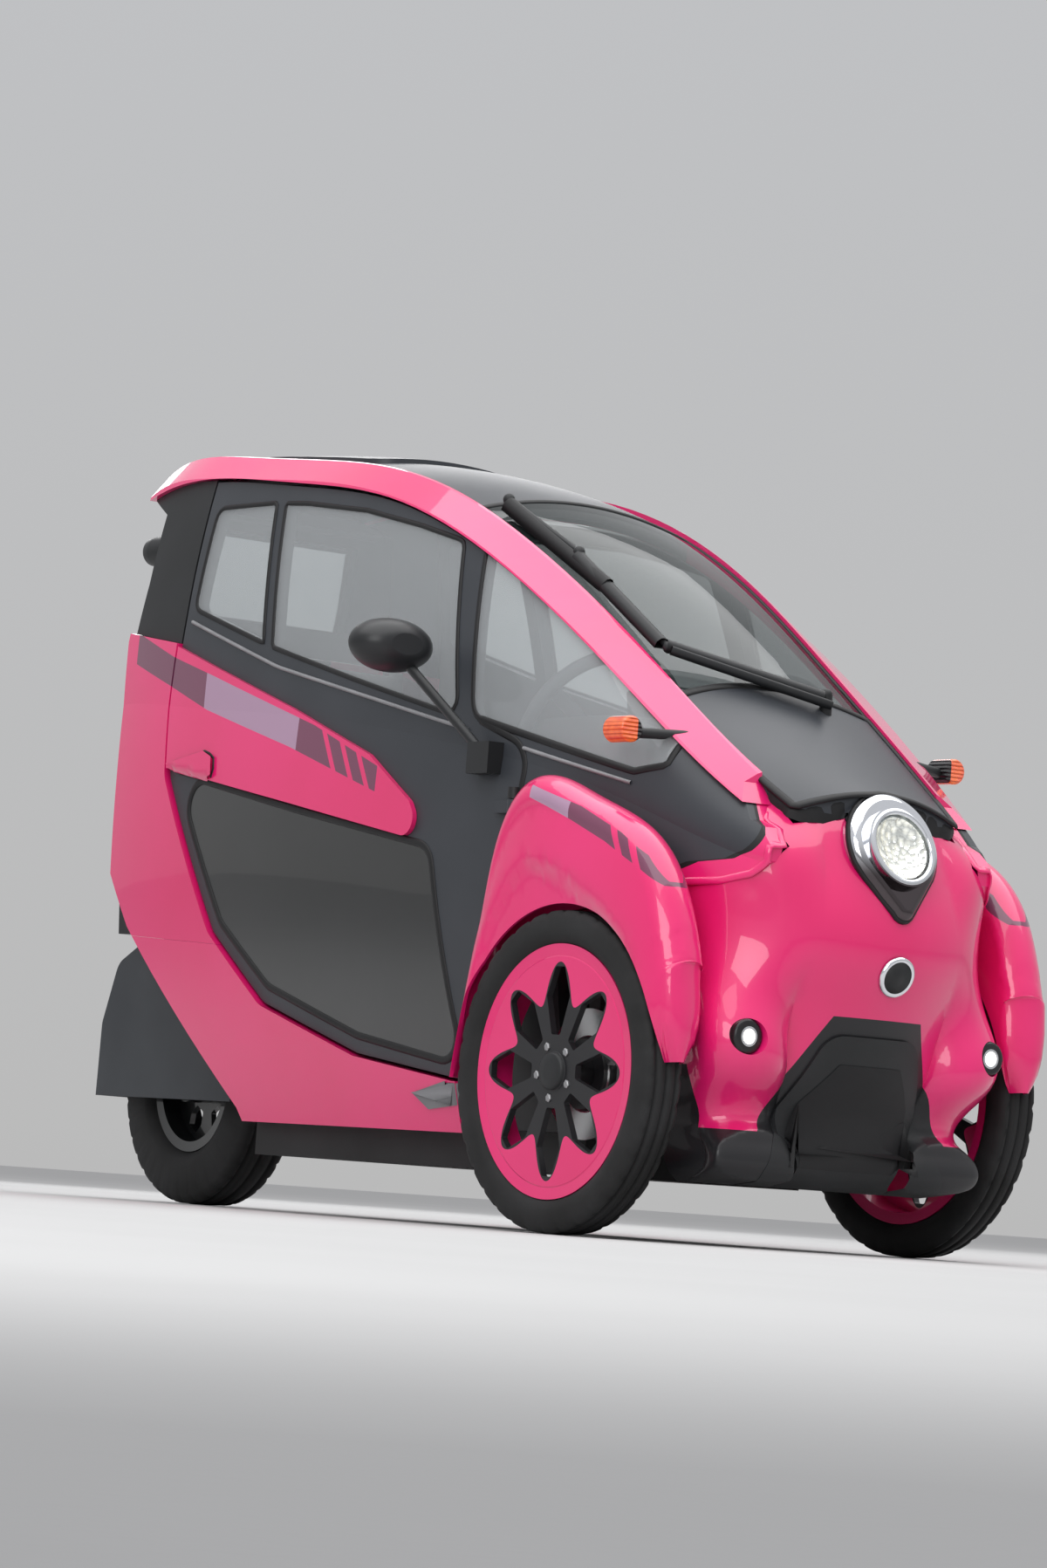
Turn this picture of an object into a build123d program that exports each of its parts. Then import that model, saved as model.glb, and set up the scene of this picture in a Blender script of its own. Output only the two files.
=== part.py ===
from build123d import *
import math
import os

os.makedirs("parts", exist_ok=True)

# A small three-wheeled car: two leaning front wheels, one steered rear wheel,
# a narrow closed cabin with two seats in line, and a door on each side.
# Millimetres. +X is forward, +Y is the car's left, +Z is up, and the origin is
# on the ground under the middle of the car.

# Driving dimensions
front_axle_x = 772.5
wheelbase = 1700.0
rear_axle_x = front_axle_x - wheelbase
track = 780.0
front_tyre_radius = 275.0
front_tyre_width = 80.0
front_rim_radius = 217.0
rear_tyre_radius = 235.0
rear_tyre_width = 120.0
rear_rim_radius = 132.0
axle_radius = 12.0
front_rim_width = 74.0
rear_rim_width = 104.0

# Windows of a rim: count, radii of the inner end, the widest place and the tip,
# and the widths there
front_windows = (8, 62.0, 128.0, 178.0, 24.0, 66.0, 26.0)
rear_windows = (6, 52.0, 76.0, 98.0, 26.0, 44.0, 30.0)
flange_width = 12.0
flange_height = 12.0

# Clearances
running_gap = 0.3
seat_gap = 0.3
skin_gap = 0.6
door_gap = 6.0

# Walls
panel_wall = 28.0
glass_wall = 6.0
pink_proud = 10.0
nose_wall = 18.0
chin_proud = 6.0
fender_wall = 5.0
floor_bottom = 105.0
floor_wall = 30.0
floor_half_width = 240.0
arch_height = 545.0

# Door hinge
door_hinge_x = front_axle_x - 246.0
door_hinge_y = 364.0
pin_radius = 6.0
hinge_wall = 5.0
hinge_half = 11.0
hinge_reach = 60.0
hinge_foot = 24.0
hinge_seat = 332.0
hinge_heights = (620.0, 735.0)

# Sections of the cabin across the car, from the tail to the nose.
# Columns: distance ahead of the front axle, half-width at the floor,
# height and half-width of the shoulder, of the rail's outer edge and
# of the rail's inner edge, and the height of the crown.
floor_line = 175.0
cabin_sections = [
    (-1690.0, 215.0, 960.0, 285.0, 1368.0, 248.0, 1408.0, 212.0, 1421.0),
    (-1480.0, 240.0, 955.0, 316.0, 1396.0, 270.0, 1440.0, 228.0, 1454.0),
    (-1150.0, 262.0, 930.0, 338.0, 1372.0, 281.0, 1411.0, 234.0, 1444.0),
    (-800.0, 276.0, 900.0, 346.0, 1322.0, 288.0, 1362.0, 240.0, 1394.0),
    (-450.0, 282.0, 850.0, 344.0, 1192.0, 292.0, 1228.0, 240.0, 1268.0),
    (-100.0, 278.0, 780.0, 332.0, 986.0, 282.0, 1013.0, 217.0, 1036.0),
    (150.0, 250.0, 700.0, 304.0, 815.0, 262.0, 841.0, 204.0, 866.0),
    (330.0, 190.0, 640.0, 240.0, 700.0, 218.0, 726.0, 172.0, 776.0),
]
side_bulge = 34.0
door_rounding = 60.0
glass_rounding = 24.0
pane_rounding = 50.0
accent_rounding = 30.0
window_bulge = 12.0

# Side view that the tail of the cabin is cut to: distance ahead of the
# front axle, height.
tail_outline = [
    (-1150.0, 150.0), (-1176.0, 196.0), (-1560.0, 535.0), (-1640.0, 640.0),
    (-1686.0, 760.0), (-1692.0, 870.0), (-1655.0, 1030.0), (-1610.0, 1200.0),
    (-1592.0, 1338.0), (-1664.0, 1372.0), (-1672.0, 1500.0), (500.0, 1500.0),
    (500.0, 150.0),
]
tail_corner_radius = 150.0
tail_half_width = 300.0

# Level sections of the nose, from the chin to the bonnet.
# Columns: height, foremost point on the centre line, distance ahead and distance
# from the centre line of the hollow beside it, of the lamp bulge's front and of
# the point where the side begins, and the half-width at the back.
nose_sections = [
    (105.0, 236.0, 226.0, 120.0, 222.0, 214.0, 168.0, 252.0, 264.0),
    (200.0, 282.0, 262.0, 142.0, 284.0, 234.0, 216.0, 278.0, 286.0),
    (290.0, 318.0, 288.0, 152.0, 326.0, 250.0, 236.0, 306.0, 300.0),
    (351.0, 338.0, 302.0, 160.0, 338.0, 262.0, 238.0, 318.0, 306.0),
    (420.0, 362.0, 322.0, 166.0, 320.0, 248.0, 226.0, 312.0, 310.0),
    (490.0, 388.0, 356.0, 160.0, 312.0, 240.0, 226.0, 296.0, 314.0),
    (600.0, 380.0, 358.0, 140.0, 314.0, 240.0, 230.0, 290.0, 314.0),
    (665.0, 357.0, 336.0, 132.0, 306.0, 240.0, 220.0, 286.0, 314.0),
    (705.0, 342.0, 320.0, 126.0, 282.0, 228.0, 196.0, 278.0, 312.0),
    (740.0, 325.0, 300.0, 120.0, 246.0, 214.0, 156.0, 268.0, 306.0),
    (775.0, 298.0, 272.0, 115.0, 196.0, 204.0, 98.0, 258.0, 300.0),
    (800.0, 262.0, 236.0, 110.0, 136.0, 200.0, 48.0, 252.0, 294.0),
]
nose_back = -120.0
nose_side_bulge = 16.0

# Side-view outlines: distance ahead of the front axle, height.
door_outline = [
    (-500.0, 1290.0), (-420.0, 898.0), (-250.0, 838.0), (-265.0, 709.0), (-300.0, 500.0),
    (-395.0, 252.0), (-750.0, 296.0), (-1060.0, 384.0), (-1235.0, 516.0),
    (-1425.0, 815.0), (-1440.0, 950.0), (-1425.0, 1130.0), (-1408.0, 1500.0),
]
upper_glass_outline = [
    (-545.0, 1226.0), (-460.0, 900.0), (-802.0, 980.0), (-1105.0, 1054.0),
    (-1396.0, 1138.0), (-1381.0, 1336.0), (-1182.0, 1334.0), (-1066.0, 1326.0),
    (-861.0, 1300.0), (-683.0, 1262.0),
]
window_bar_outline = [(-1187.0, 1400.0), (-1156.0, 1400.0), (-1080.0, 1000.0), (-1111.0, 1000.0)]
accent_outline = [
    (-1600.0, 1118.0), (-984.0, 932.0), (-708.0, 838.0), (-565.0, 750.0),
    (-512.0, 676.0), (-946.0, 751.0), (-1600.0, 860.0),
]
lower_glass_outline = [
    (-1391.0, 822.0), (-1204.0, 534.0), (-1040.0, 416.0), (-744.0, 330.0),
    (-410.0, 280.0), (-502.0, 669.0), (-946.0, 742.0),
]
quarter_glass_outline = [
    (-500.0, 1290.0), (-420.0, 901.0), (31.0, 795.0), (96.0, 806.0), (118.0, 1000.0),
]
cheek_outline = [
    (-420.0, 1300.0), (-420.0, 600.0), (130.0, 604.0), (250.0, 610.0), (300.0, 624.0),
    (322.0, 646.0), (324.0, 674.0), (300.0, 704.0), (276.0, 716.0), (226.0, 779.0),
    (219.0, 1300.0),
]
rail_outline = [
    (-1800.0, 500.0), (285.0, 500.0), (285.0, 708.0), (228.0, 782.0), (222.0, 1600.0),
    (-1800.0, 1600.0),
]
sill_outline = [
    (-1750.0, 150.0), (-1750.0, 520.0), (-1200.0, 492.0), (-1100.0, 600.0),
    (-430.0, 600.0), (-430.0, 150.0),
]
pillar_outline = [
    (-1750.0, 520.0), (-1200.0, 492.0), (-1300.0, 1048.0), (-1440.0, 1074.0),
    (-1750.0, 1118.0),
]
tail_frame_outline = [
    (-1750.0, 1118.0), (-1440.0, 1074.0), (-1300.0, 1048.0), (-1300.0, 1500.0),
    (-1750.0, 1500.0),
]
wheelhouse_outline = [(-430.0, 170.0), (-430.0, 600.0), (-120.0, 600.0), (-120.0, 170.0)]

rear_window_outline = [(-1750.0, 1150.0), (-1750.0, 1322.0), (-1500.0, 1322.0), (-1500.0, 1150.0)]
rear_window_half = 165.0
tail_panel_outline = [(-1750.0, 560.0), (-1750.0, 1118.0), (-1560.0, 1090.0), (-1560.0, 560.0)]
tail_panel_half_width = 150.0
tail_lamp_outline = [(-1750.0, 900.0), (-1750.0, 1040.0), (-1600.0, 1040.0), (-1600.0, 900.0)]
tail_carrier_outline = [
    (-1563.0, 538.0), (-1644.0, 641.0), (-1676.0, 716.0), (-1730.0, 706.0), (-1810.0, 684.0),
    (-1882.0, 657.0), (-1869.0, 527.0), (-1563.0, 527.0),
]
tail_carrier_half = 138.0
floor_outline = [
    (-1165.0, 105.0), (-1150.0, 190.0), (-1500.0, 499.0), (-1500.0, 546.0),
    (-1562.0, 546.0), (-1562.0, 576.0), (-1110.0, 576.0), (-1110.0, 546.0),
    (-1462.0, 546.0), (-1462.0, 512.0), (-1118.0, 208.0), (-1130.0, 135.0),
    (-165.0, 135.0), (-165.0, 640.0),
    (-135.0, 640.0), (-135.0, 105.0),
]
dash_outline = [
    (-300.0, 640.3), (-335.0, 760.0), (-330.0, 850.0), (-250.0, 895.0), (-60.0, 900.0),
    (100.0, 850.0), (190.0, 760.0), (190.0, 640.3),
]
mudguard_outline = [
    (-1452.0, 120.0), (-1450.0, 380.0), (-1500.0, 480.0), (-1590.0, 515.0), (-1800.0, 515.0),
    (-1892.0, 470.0), (-1938.0, 350.0), (-1945.0, 120.0),
]
chin_front = [(96.0, 366.0), (196.0, 130.0), (202.0, 90.0)]
chin_rounding = 44.0

# Plan-view edges: distance ahead of the front axle, half-width.
windscreen_top = -590.0
windscreen_base = 36.0
windscreen_base_sag = 52.0
top_layer_outline = [
    (-1750.0, 1342.0), (-1750.0, 1600.0), (600.0, 1600.0), (600.0, 640.0), (-1450.0, 1342.0),
]
bonnet_front = 262.0
bonnet_front_sag = -60.0
roof_back = -1668.0
raised_middle = -1230.0
raised_length = 420.0
raised_width = 340.0
raised_height = 8.0

# Sections of a fender in planes through the axle. Columns: angle up from straight
# ahead, radius of the ridge, and the ridge's, outer side's and inner side's
# distance from the centre line.
fender_sections = [
    (182.0, 293.0, 398.0, 433.0, 362.0),
    (157.0, 306.0, 397.0, 433.0, 362.0),
    (133.0, 368.0, 396.0, 433.0, 360.0),
    (117.0, 468.0, 394.0, 433.0, 356.0),
    (105.0, 522.0, 392.0, 433.0, 352.0),
    (89.0, 478.0, 390.0, 433.0, 346.0),
    (68.0, 448.0, 388.0, 433.0, 342.0),
    (50.0, 405.0, 386.0, 432.0, 338.0),
    (33.0, 360.0, 383.0, 430.0, 334.0),
    (12.0, 312.0, 380.0, 426.0, 332.0),
]
arch_radius = 285.0
fender_foot = 250.0
fender_low = 258.0
fender_open_end = 3.0

# Rear wheel, its fork and its guard
swing_radius = 290.0
fork_leg_inside = 72.0
fork_leg_wall = 18.0
fork_crown_low = 482.0
fork_crown_high = 506.0
head_shaft_radius = 28.0
head_bore_depth = 100.0
head_shaft_length = 90.0
mudguard_half = 118.0
mudguard_wall = 5.0
mudguard_rounding = 44.0
mudguard_low = 204.0

# Number plate seat, on the tail
plate_height = 802.0
plate_width = 200.0
plate_tall = 150.0
plate_seat_x = front_axle_x - 1702.0
plate_hole_spacing = 140.0
plate_hole_radius = 3.0
plate_hole_depth = 16.0

# Seats, dashboard and steering wheel
seat_half_width = 200.0
battery_top = 300.0
battery_middle = -845.0
battery_length = 510.0
battery_width = 400.0
steering_wheel_radius = 165.0
steering_grip_radius = 13.0
steering_spoke_width = 26.0
steering_hub_radius = 42.0
steering_centre = (front_axle_x - 500.0, 0.0, 900.0)
steering_tilt = 28.0
steering_hub_depth = 50.0

# Front suspension
crossmember_half = 115.0
knuckle_inside = 318.0
knuckle_wall = 20.0
stay_outside = 342.0
stay_top = 596.0
arm_radius = 16.0
arm_heights = (205.0, 345.0)
disc_radius = 112.0
disc_inside = 346.0
disc_wall = 4.0

# Lamps, mirrors and wiper
headlamp_centre = (front_axle_x + 352.0, 0.0, 672.0)
headlamp_tilt = 19.0
headlamp_top = (20.0, 95.0)
headlamp_foot = (-92.0, 24.0)
headlamp_dome = [(0.0, 0.0), (12.0, -4.0), (20.0, -16.0)]
headlamp_ring_up = 10.0
headlamp_ring_radius = 72.0
headlamp_ring_front = 29.0
headlamp_lens_radius = 60.0
headlamp_lens_depth = 24.0
fog_centre = (front_axle_x + 331.0, 266.0, 351.0)
fog_radius = 30.0
signal_centre = (front_axle_x + 50.0, 361.0, 862.0)
signal_radius = 23.0
signal_length = 58.0
mirror_centre = (front_axle_x - 520.0, 452.0, 1018.0)
mirror_foot = (front_axle_x - 350.0, 352.0, 822.0)


def side_points(points):
    """Points given from the front axle, in the car's frame."""
    return [(front_axle_x + ahead, other) for ahead, other in points]


def side_prism(points, near, far, inset=0.0, rounding=0.0):
    """A side-view outline, run across the car from y = near to y = far."""
    with BuildPart() as prism:
        with BuildSketch(Plane.XZ.offset(-near)) as outline:
            with BuildLine():
                Polyline(*side_points(points), close=True)
            make_face()
            if rounding != 0:
                fillet(outline.vertices(), rounding)
            if inset != 0:
                offset(amount=-inset, kind=Kind.INTERSECTION)
        extrude(amount=-(far - near))
    return prism.part


def mirrored(part):
    with BuildPart() as twin:
        mirror(part, about=Plane.XZ)
    return twin.part


def both_sides(part):
    with BuildPart() as pair:
        add(part)
        mirror(part, about=Plane.XZ)
    return pair.part


def keep(part, label):
    part.label = label
    export_step(part, "parts/" + label + ".step")


def cabin_hull(inset):
    """The cabin's outer form, or that form drawn in by inset."""
    with BuildPart() as hull:
        for ahead, foot, z_mid, w_mid, z_out, w_out, z_in, w_in, crown in cabin_sections:
            base = floor_line + inset
            foot_edge = foot - inset
            mid_edge = w_mid - inset
            out_edge = w_out - inset
            out_height = z_out - 0.4 * inset
            in_edge = w_in - 0.6 * inset
            in_height = z_in - inset
            lower = ((foot_edge + mid_edge) / 2 + side_bulge, (base + z_mid) / 2)
            upper = ((mid_edge + out_edge) / 2 + window_bulge, (z_mid + out_height) / 2)
            with BuildSketch(Plane.YZ.offset(front_axle_x + ahead)):
                with BuildLine():
                    Line((-foot_edge, base), (foot_edge, base))
                    ThreePointArc((foot_edge, base), lower, (mid_edge, z_mid))
                    ThreePointArc((mid_edge, z_mid), upper, (out_edge, out_height))
                    Line((out_edge, out_height), (in_edge, in_height))
                    ThreePointArc((in_edge, in_height), (0, crown - inset), (-in_edge, in_height))
                    Line((-in_edge, in_height), (-out_edge, out_height))
                    ThreePointArc(
                        (-out_edge, out_height), (-upper[0], upper[1]), (-mid_edge, z_mid)
                    )
                    ThreePointArc((-mid_edge, z_mid), (-lower[0], lower[1]), (-foot_edge, base))
                make_face()
        loft()
        add(side_prism(tail_outline, -600, 600, inset), mode=Mode.INTERSECT)
        with BuildSketch(Plane.XY) as plan:
            half = tail_half_width + 80 - inset
            back = front_axle_x + cabin_sections[0][0] - 4 + inset
            with Locations((back + 1100, 0)):
                Rectangle(2200, 2 * half)
            fillet(plan.vertices().group_by(Axis.X)[0], tail_corner_radius + 80 - inset)
        extrude(amount=1600, mode=Mode.INTERSECT)
    return hull.part


def nose_hull(inset):
    """The nose's outer form, or that form drawn in by inset and open behind."""
    back = nose_back - 2 * inset
    with BuildPart() as hull:
        for height, tip, x_dip, y_dip, x_bulge, y_bulge, x_side, y_side, y_back in nose_sections:
            dip = (x_dip - inset, y_dip - 0.3 * inset)
            bulge = (x_bulge - inset, y_bulge - 0.4 * inset)
            side = (x_side - 0.5 * inset, y_side - inset)
            rear = (back, y_back - inset)
            flank = ((side[0] + back) / 2, (side[1] + rear[1]) / 2 + nose_side_bulge)
            left = side_points([dip, bulge, side, flank, rear, (tip - inset, 0)])
            right = [(x, -y) for x, y in left]
            with BuildSketch(Plane.XY.offset(height)):
                with BuildLine():
                    ThreePointArc(right[0], left[5], left[0])
                    ThreePointArc(left[0], left[1], left[2])
                    ThreePointArc(left[2], left[3], left[4])
                    Line(left[4], right[4])
                    ThreePointArc(right[4], right[3], right[2])
                    ThreePointArc(right[2], right[1], right[0])
                make_face()
        loft()
    return hull.part


def above_rails(drop):
    """Everything above the rails' outer edge, less drop."""
    edge = [(row[0], row[4] - drop) for row in cabin_sections]
    with BuildPart() as region:
        with BuildSketch(Plane.XZ.offset(600)):
            with BuildLine():
                Spline(*side_points(edge))
                Polyline(
                    *side_points([edge[-1], (edge[-1][0], 1600.0), (edge[0][0], 1600.0), edge[0]])
                )
            make_face()
        extrude(amount=-1200)
    return region.part


def across(x, sag, start, end):
    """A line across the car that bows back by sag on the centre line."""
    if sag == 0:
        return Line((x, start), (x, end))
    return ThreePointArc((x, start), (x - sag, 0), (x, end))


def between_rails(margin, back, front, front_sag=0.0, back_sag=0.0):
    """The strip between the rails' inner edges, from back to front."""
    edge = [(row[0], row[7] + margin) for row in cabin_sections]
    left = side_points(edge)
    right = [(x, -y) for x, y in left]
    x_back = front_axle_x + back
    x_front = front_axle_x + front
    half = 300.0
    with BuildPart() as region:
        with BuildSketch(Plane.XY.offset(640)):
            with BuildLine():
                Spline(*left)
                Line(left[-1], right[-1])
                Spline(*right)
                Line(right[0], left[0])
            make_face()
        extrude(amount=900)
        with BuildSketch(Plane.XY.offset(640)):
            with BuildLine():
                across(x_back, back_sag, half, -half)
                Line((x_back, -half), (x_front, -half))
                across(x_front, front_sag, -half, half)
                Line((x_front, half), (x_back, half))
            make_face()
        extrude(amount=900, mode=Mode.INTERSECT)
    return region.part


def common(first, *others):
    with BuildPart() as part:
        add(first)
        for other in others:
            add(other, mode=Mode.INTERSECT)
    return part.part


def without(first, *others):
    with BuildPart() as part:
        add(first)
        for other in others:
            add(other, mode=Mode.SUBTRACT)
    return part.part


lamp_plane = Plane(
    origin=headlamp_centre,
    x_dir=(0, 1, 0),
    z_dir=(math.cos(math.radians(headlamp_tilt)), 0, math.sin(math.radians(headlamp_tilt))),
)


def headlamp_outline(grow):
    """The lamp's drop shape: a round top and a round foot, with straight sides."""
    top_y, top_radius = headlamp_top
    foot_y, foot_radius = headlamp_foot
    rise = -(top_radius - foot_radius) / (top_y - foot_y)
    run = math.sqrt(1 - rise * rise)
    top_side = ((top_radius + grow) * run, top_y + (top_radius + grow) * rise)
    foot_side = ((foot_radius + grow) * run, foot_y + (foot_radius + grow) * rise)
    ThreePointArc((-top_side[0], top_side[1]), (0, top_y + top_radius + grow), top_side)
    Line(top_side, foot_side)
    ThreePointArc(foot_side, (0, foot_y - foot_radius - grow), (-foot_side[0], foot_side[1]))
    Line((-foot_side[0], foot_side[1]), (-top_side[0], top_side[1]))


def headlamp_form(grow, depth):
    """The lamp's domed front with a straight skirt behind it."""
    with BuildPart() as form:
        for height, shrink in headlamp_dome:
            with BuildSketch(lamp_plane.offset(height)):
                with BuildLine():
                    headlamp_outline(grow + shrink)
                make_face()
        loft()
        with BuildSketch(lamp_plane):
            with BuildLine():
                headlamp_outline(grow)
            make_face()
        extrude(amount=-depth)
    return form.part


with BuildPart() as lamp_room:
    with BuildSketch(lamp_plane.offset(80)):
        with BuildLine():
            headlamp_outline(seat_gap)
        make_face()
    extrude(amount=-280)


# Walls of the cabin that the panels are cut from
outer = cabin_hull(0)
inner = cabin_hull(panel_wall)
wall = without(outer, inner)
glazing = without(outer, cabin_hull(glass_wall))
proud = cabin_hull(-pink_proud)
pink_wall = without(proud, inner)
lining = cabin_hull(panel_wall + skin_gap)
skin = without(proud, cabin_hull(-skin_gap))
centre_strip = between_rails(seat_gap, -1480, 330)
low_wall = without(wall, above_rails(seat_gap), centre_strip)
low_glazing = without(glazing, above_rails(seat_gap), centre_strip)
low_pink_wall = without(pink_wall, above_rails(seat_gap), centre_strip)
door_space = side_prism(door_outline, 30, 600, -door_gap / 2, door_rounding)


def left_piece(source, outline, inset=0.0, near=30.0):
    """The stretch of a wall on the left side inside a side-view outline."""
    return common(source, side_prism(outline, near, 600, inset))


# Roof rails that run down beside the windscreen to the nose
rails = without(
    common(pink_wall, above_rails(0), side_prism(rail_outline, -600, 600)),
    between_rails(0, -1668, 330),
)
keep(rails, "roof_rails")

# Roof, windscreen and bonnet between the rails
top_layer = side_prism(top_layer_outline, -400, 400)
roof = common(wall, between_rails(-seat_gap, roof_back, windscreen_top), top_layer)
with BuildPart() as raised_area:
    with BuildSketch(Plane.XY.offset(1300)):
        with Locations((front_axle_x + raised_middle, 0)):
            RectangleRounded(raised_length, raised_width, 60)
    extrude(amount=300)
raised = common(without(cabin_hull(-raised_height), cabin_hull(1)), raised_area.part)
with BuildPart() as roof_panel:
    add(roof)
    add(raised)
keep(roof_panel.part, "roof_panel")
glass_strip = between_rails(
    -seat_gap, windscreen_top + seat_gap, windscreen_base, windscreen_base_sag
)
keep(common(glazing, glass_strip), "windscreen")
bonnet_strip = between_rails(
    -seat_gap, windscreen_base + seat_gap, bonnet_front, bonnet_front_sag, windscreen_base_sag
)
bonnet = without(common(wall, bonnet_strip, top_layer), lamp_room.part)
keep(bonnet, "bonnet")

# Doors: a dark frame, a pink accent skin and two panes each
door_blank = without(
    common(wall, side_prism(door_outline, 30, 600, door_gap / 2, door_rounding)),
    above_rails(door_gap),
)
hinge_ring = pin_radius + hinge_wall


def hinge_leaf(ahead, near, low, high, bore):
    """One ring of a hinge with the leaf that holds it, bored if bore is above 0."""
    with BuildPart() as leaf:
        with BuildSketch(Plane.XY.offset(low)):
            with Locations((door_hinge_x, door_hinge_y)):
                Circle(hinge_ring)
            with Locations((door_hinge_x + ahead / 2, (near + door_hinge_y) / 2 - 1)):
                Rectangle(abs(ahead), door_hinge_y - near - 2)
        extrude(amount=high - low)
        if bore > 0:
            with Locations((door_hinge_x, door_hinge_y, (low + high) / 2)):
                Cylinder(bore, high - low + 2, mode=Mode.SUBTRACT)
    return leaf.part


upper_opening = side_prism(upper_glass_outline, 30, 600, 0, glass_rounding)
window_bar = side_prism(window_bar_outline, 30, 600)
beside_door = without(
    cabin_hull(-door_gap), side_prism(door_outline, 30, 600, door_gap / 2, door_rounding)
)
with BuildPart() as door_frame_part:
    add(door_blank)
    add(without(upper_opening, window_bar), mode=Mode.SUBTRACT)
    add(side_prism(lower_glass_outline, 30, 600, 0, pane_rounding), mode=Mode.SUBTRACT)
    for height in hinge_heights:
        low, high = height - hinge_half, height + hinge_half
        leaf = hinge_leaf(-hinge_reach, hinge_seat, low, high, pin_radius + running_gap)
        add(without(leaf, beside_door))
door_frame = door_frame_part.part
with BuildPart() as hinge:
    for height in hinge_heights:
        for low in (height - 3 * hinge_half, height + hinge_half + 2):
            add(hinge_leaf(hinge_foot, hinge_seat, low, low + 2 * hinge_half - 2, 0))
        with Locations((door_hinge_x, door_hinge_y, height)):
            Cylinder(pin_radius, 6 * hinge_half)
hinges = without(hinge.part, cabin_hull(-seat_gap))
keep(both_sides(hinges), "door_hinges")
door_pieces = {
    "frame": door_frame,
    "glass": without(
        common(glazing, side_prism(upper_glass_outline, 30, 600, seat_gap, glass_rounding)),
        side_prism(window_bar_outline, 30, 600, -seat_gap),
    ),
    "lower_panel": common(
        glazing, side_prism(lower_glass_outline, 30, 600, seat_gap, pane_rounding)
    ),
    "accent": common(
        skin,
        side_prism(accent_outline, 30, 600, 0, accent_rounding),
        side_prism(door_outline, 30, 600, door_gap / 2, door_rounding),
    ),
}
for label, piece in door_pieces.items():
    keep(piece, "door_left_" + label)
    keep(mirrored(piece), "door_right_" + label)

# Fixed panels round the doors, in pairs
with BuildPart() as wheel_swing:
    with Locations((rear_axle_x, 0, arch_height / 2)):
        Cylinder(swing_radius, arch_height)
quarter_glass = without(left_piece(low_glazing, quarter_glass_outline, seat_gap), door_space)
cheek = without(
    left_piece(low_wall, cheek_outline), door_space, side_prism(quarter_glass_outline, 30, 600)
)
wheelhouse = without(
    left_piece(low_wall, wheelhouse_outline, seat_gap / 2, floor_half_width + seat_gap),
    door_space,
)
sill = without(
    left_piece(low_pink_wall, sill_outline, seat_gap / 2, floor_half_width + seat_gap),
    door_space,
    wheel_swing.part,
)
pillar = without(
    left_piece(low_pink_wall, pillar_outline, seat_gap / 2, tail_panel_half_width + seat_gap),
    door_space,
    wheel_swing.part,
)
pairs = {
    "quarter_glass": quarter_glass,
    "cheek_panels": cheek,
    "wheelhouse_panels": wheelhouse,
    "sills": sill,
    "rear_pillars": pillar,
}
for label, piece in pairs.items():
    keep(both_sides(piece), label)

# Tail: black frame round the rear window, the window and the panel below it
rear_window_space = side_prism(rear_window_outline, -rear_window_half, rear_window_half)
tail_frame = without(
    common(low_wall, side_prism(tail_frame_outline, -600, 600, seat_gap)),
    side_prism(door_outline, -600, 600, -door_gap / 2, door_rounding),
    rear_window_space,
    common(
        between_rails(seat_gap, -1750, -1400),
        side_prism(top_layer_outline, -400, 400, -seat_gap),
    ),
)
keep(tail_frame, "tail_frame")
rear_window = common(
    glazing,
    side_prism(
        rear_window_outline, -rear_window_half + seat_gap, rear_window_half - seat_gap, seat_gap
    ),
)
keep(rear_window, "rear_window")
tail_half = tail_panel_half_width
with BuildPart() as tail_panel:
    add(common(wall, side_prism(tail_panel_outline, -tail_half, tail_half, seat_gap)))
    with BuildSketch(Plane.YZ.offset(plate_seat_x)):
        with Locations((0, plate_height)):
            RectangleRounded(plate_width, plate_tall, 8)
    extrude(amount=40)
    plate_plane = Plane(origin=(plate_seat_x, 0, plate_height), x_dir=(0, 1, 0), z_dir=(-1, 0, 0))
    with Locations(plate_plane):
        with Locations((-plate_hole_spacing / 2, 0), (plate_hole_spacing / 2, 0)):
            Hole(plate_hole_radius, depth=plate_hole_depth)
keep(tail_panel.part, "tail_panel")
tail_lamp = common(skin, side_prism(tail_lamp_outline, 70, 132))
keep(both_sides(tail_lamp), "tail_lamps")

# Carrier over the rear wheel, with the bore that the steering shaft turns in
with BuildPart() as tail_carrier:
    add(side_prism(tail_carrier_outline, -tail_carrier_half, tail_carrier_half))
    fillet(tail_carrier.edges().filter_by(Axis.Z).group_by(Axis.X)[0], 40)
    with Locations((rear_axle_x, 0, tail_carrier_outline[-1][1])):
        Cylinder(
            head_shaft_radius + running_gap,
            head_bore_depth,
            align=(Align.CENTER, Align.CENTER, Align.MIN),
            mode=Mode.SUBTRACT,
        )
keep(tail_carrier.part, "tail_carrier")

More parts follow.
